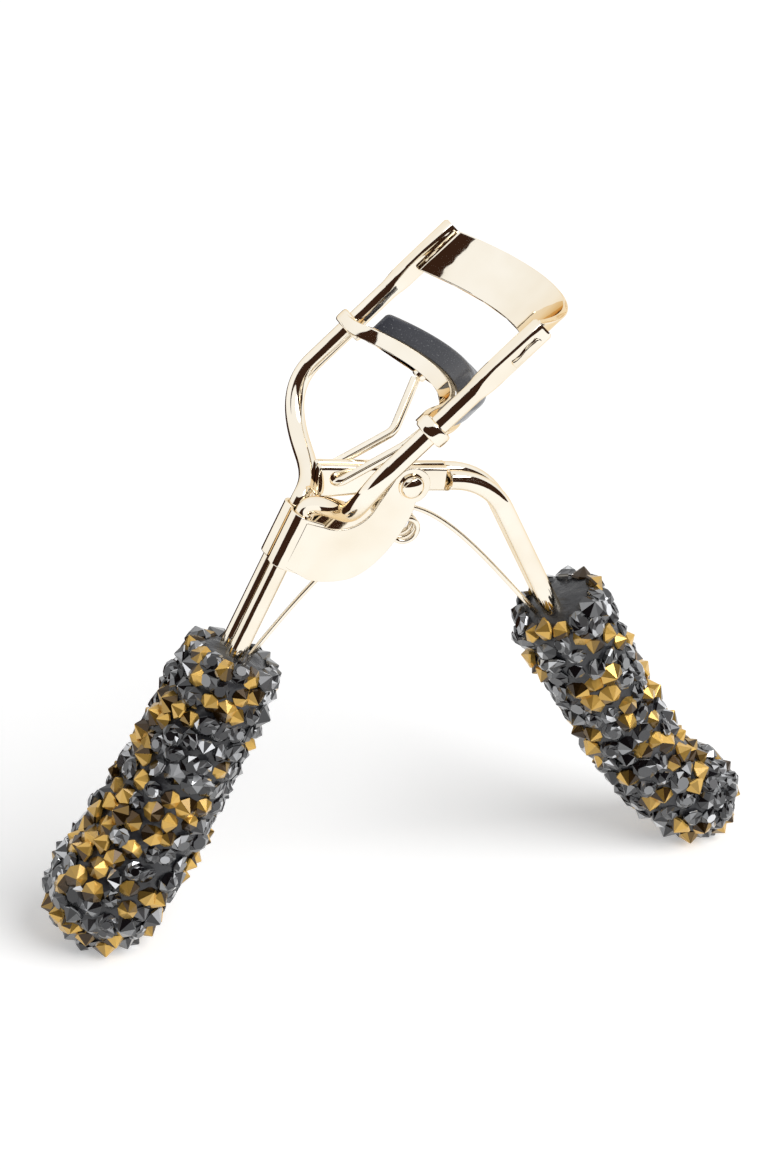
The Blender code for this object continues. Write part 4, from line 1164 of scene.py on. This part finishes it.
class CurlerStudio(bpy.types.Operator):
    """Make the floor, the light, the dark curtain behind the camera, and the camera"""

    bl_idname = "curler.studio"
    bl_label = "Studio"

    def seen_directly(self, tree):
        """One for rays that show the background itself: from the camera, off gloss or through glass."""
        ray = add(tree, "ShaderNodeLightPath").outputs
        gloss = add(tree, "ShaderNodeMath", {0: ray["Is Camera Ray"], 1: ray["Is Glossy Ray"]}, operation="MAXIMUM")
        return add(
            tree,
            "ShaderNodeMath",
            {0: gloss.outputs["Value"], 1: ray["Is Transmission Ray"]},
            operation="MAXIMUM",
        ).outputs["Value"]

    def floor(self, settings):
        material = bpy.data.materials.new("white_sweep")
        material.use_nodes = True
        tree = material.node_tree
        tree.nodes.clear()
        paper = add(tree, "ShaderNodeBsdfDiffuse", {"Color": (*settings.floor, 1.0)})
        lift = add(tree, "ShaderNodeMath", {0: self.seen_directly(tree), 1: FLOOR_GLOW}, operation="MULTIPLY")
        glow = add(tree, "ShaderNodeEmission", {"Strength": lift.outputs["Value"]})
        both = add(tree, "ShaderNodeAddShader", {0: paper.outputs["BSDF"], 1: glow.outputs["Emission"]})
        add(tree, "ShaderNodeOutputMaterial", {"Surface": both.outputs["Shader"]})
        bm = bmesh.new()
        bmesh.ops.create_grid(bm, x_segments=1, y_segments=1, size=6.0)
        self.stage_piece("floor", bm, material)

    def screens(self, settings):
        """A dark half-round screen behind the camera and one on the floor, which only reflections see."""
        material = bpy.data.materials.new("dark_felt")
        material.use_nodes = True
        tree = material.node_tree
        tree.nodes.clear()
        felt = add(tree, "ShaderNodeEmission", {"Color": (*settings.curtain, 1.0), "Strength": 1.0})
        add(tree, "ShaderNodeOutputMaterial", {"Surface": felt.outputs["Emission"]})
        bm = bmesh.new()
        edges = self.sector(bm, SCREEN_REACH, 0.0, -178, 0)
        made = bmesh.ops.extrude_edge_only(bm, edges=edges)["geom"]
        bmesh.ops.translate(bm, verts=[item for item in made if is_vert(item)], vec=(0.0, 0.0, SCREEN_HEIGHT))
        self.reflected("curtain", bm, material)
        bm = bmesh.new()
        inner = self.sector(bm, FLAG_REACH[0], FLAG_LIFT, *FLAG_TURN)
        outer = self.sector(bm, FLAG_REACH[1], FLAG_LIFT, *FLAG_TURN)
        bmesh.ops.bridge_loops(bm, edges=inner + outer)
        self.reflected("flag", bm, material)

    def sector(self, bm, radius, z, start, end):
        """Edges along a round line on the level z, between two angles in degrees."""
        line = [bm.verts.new((x, y, z)) for x, y in arc((0.0, 0.0), radius, start, end, 30)]
        return [bm.edges.new(pair) for pair in zip(line, line[1:])]

    def reflected(self, name, bm, material):
        """A piece of the stage that only reflections see."""
        screen = self.stage_piece(name, bm, material)
        screen.visible_camera = False
        screen.visible_diffuse = False
        screen.visible_shadow = False
        screen.visible_transmission = False

    def stage_piece(self, name, bm, material):
        mesh = bpy.data.meshes.new(name)
        bm.to_mesh(mesh)
        bm.free()
        mesh.materials.append(material)
        piece = bpy.data.objects.new(name, mesh)
        bpy.context.scene.collection.objects.link(piece)
        return piece

    def world(self):
        world = bpy.data.worlds.new("white_room")
        world.use_nodes = True
        tree = world.node_tree
        seen = self.seen_directly(tree)
        level = add(
            tree,
            "ShaderNodeMapRange",
            {"Value": seen, "From Min": 0.0, "From Max": 1.0, "To Min": ROOM_LIGHT, "To Max": 1.0},
        )
        tree.links.new(level.outputs["Result"], tree.nodes["Background"].inputs["Strength"])
        tree.nodes["Background"].inputs["Color"].default_value = (1.0, 1.0, 1.0, 1.0)
        bpy.context.scene.world = world

    def lamp(self):
        """A broad soft light from the right, as even as a large window's."""
        light = bpy.data.lights.new("key", "SUN")
        light.angle = LAMP_SPREAD
        light.energy = LAMP_POWER
        lamp = bpy.data.objects.new("key", light)
        lamp.rotation_euler = LAMP_PLACE.to_track_quat("Z", "Y").to_euler()
        bpy.context.scene.collection.objects.link(lamp)

    def camera(self, settings):
        a = settings.azimuth
        e = settings.elevation
        ahead = Vector((math.sin(a) * math.cos(e), math.cos(a) * math.cos(e), -math.sin(e)))
        right = Vector((math.cos(a), -math.sin(a), 0.0))
        up = right.cross(ahead)
        pixel = settings.distance / settings.focal_pixels
        target = PIVOT - Vector((-0.001556, 0.0, 0.000443))
        data = bpy.data.cameras.new("camera")
        data.sensor_width = 36.0
        data.lens = settings.focal_pixels / 1170 * data.sensor_width
        data.clip_start = 0.01
        camera = bpy.data.objects.new("camera", data)
        camera.location = target - ahead * settings.distance - right * (416 - 390) * pixel + up * (477 - 585) * pixel
        camera.rotation_mode = "QUATERNION"
        camera.rotation_quaternion = Matrix((right, up, -ahead)).transposed().to_quaternion()
        bpy.context.scene.collection.objects.link(camera)
        bpy.context.scene.camera = camera

    def execute(self, context):
        settings = context.scene.curler_stage
        context.scene.view_settings.view_transform = "Standard"
        self.floor(settings)
        self.screens(settings)
        self.world()
        self.lamp()
        self.camera(settings)
        return {"FINISHED"}


PIECES = (
    CurlerFrameWires,
    CurlerBracket,
    CurlerUpperJaw,
    CurlerPivot,
    CurlerSpring,
    CurlerLeverWires,
    CurlerLink,
    CurlerLowerJaw,
    CurlerRubberPad,
    CurlerGripBeds,
    CurlerStoneSetting,
    CurlerStudio,
)
SETTINGS = {
    "curler_metal": CurlerMetal,
    "curler_stones": CurlerStones,
    "curler_pad": CurlerPad,
    "curler_stage": CurlerStage,
}


class CurlerPanel(bpy.types.Panel):
    """Lists the pieces of the curler"""

    bl_idname = "VIEW3D_PT_curler"
    bl_label = "Eyelash curler"
    bl_space_type = "VIEW_3D"
    bl_region_type = "UI"
    bl_category = "Curler"

    def draw(self, context):
        for piece in PIECES:
            self.layout.operator(piece.bl_idname)


def register():
    for settings in SETTINGS.values():
        bpy.utils.register_class(settings)
    for name, settings in SETTINGS.items():
        setattr(bpy.types.Scene, name, bpy.props.PointerProperty(type=settings))
    for piece in PIECES:
        bpy.utils.register_class(piece)
    bpy.utils.register_class(CurlerPanel)


def unregister():
    bpy.utils.unregister_class(CurlerPanel)
    for piece in reversed(PIECES):
        bpy.utils.unregister_class(piece)
    for name, settings in SETTINGS.items():
        delattr(bpy.types.Scene, name)
        bpy.utils.unregister_class(settings)


def main():
    register()
    bpy.ops.curler.frame_wires()
    bpy.ops.curler.bracket()
    bpy.ops.curler.upper_jaw()
    bpy.ops.curler.pivot()
    bpy.ops.curler.spring()
    bpy.ops.curler.lever_wires()
    bpy.ops.curler.link()
    bpy.ops.curler.lower_jaw()
    bpy.ops.curler.rubber_pad()
    bpy.ops.curler.grip_beds()
    bpy.ops.curler.stone_setting()
    bpy.ops.curler.studio()


if __name__ == "__main__":
    main()
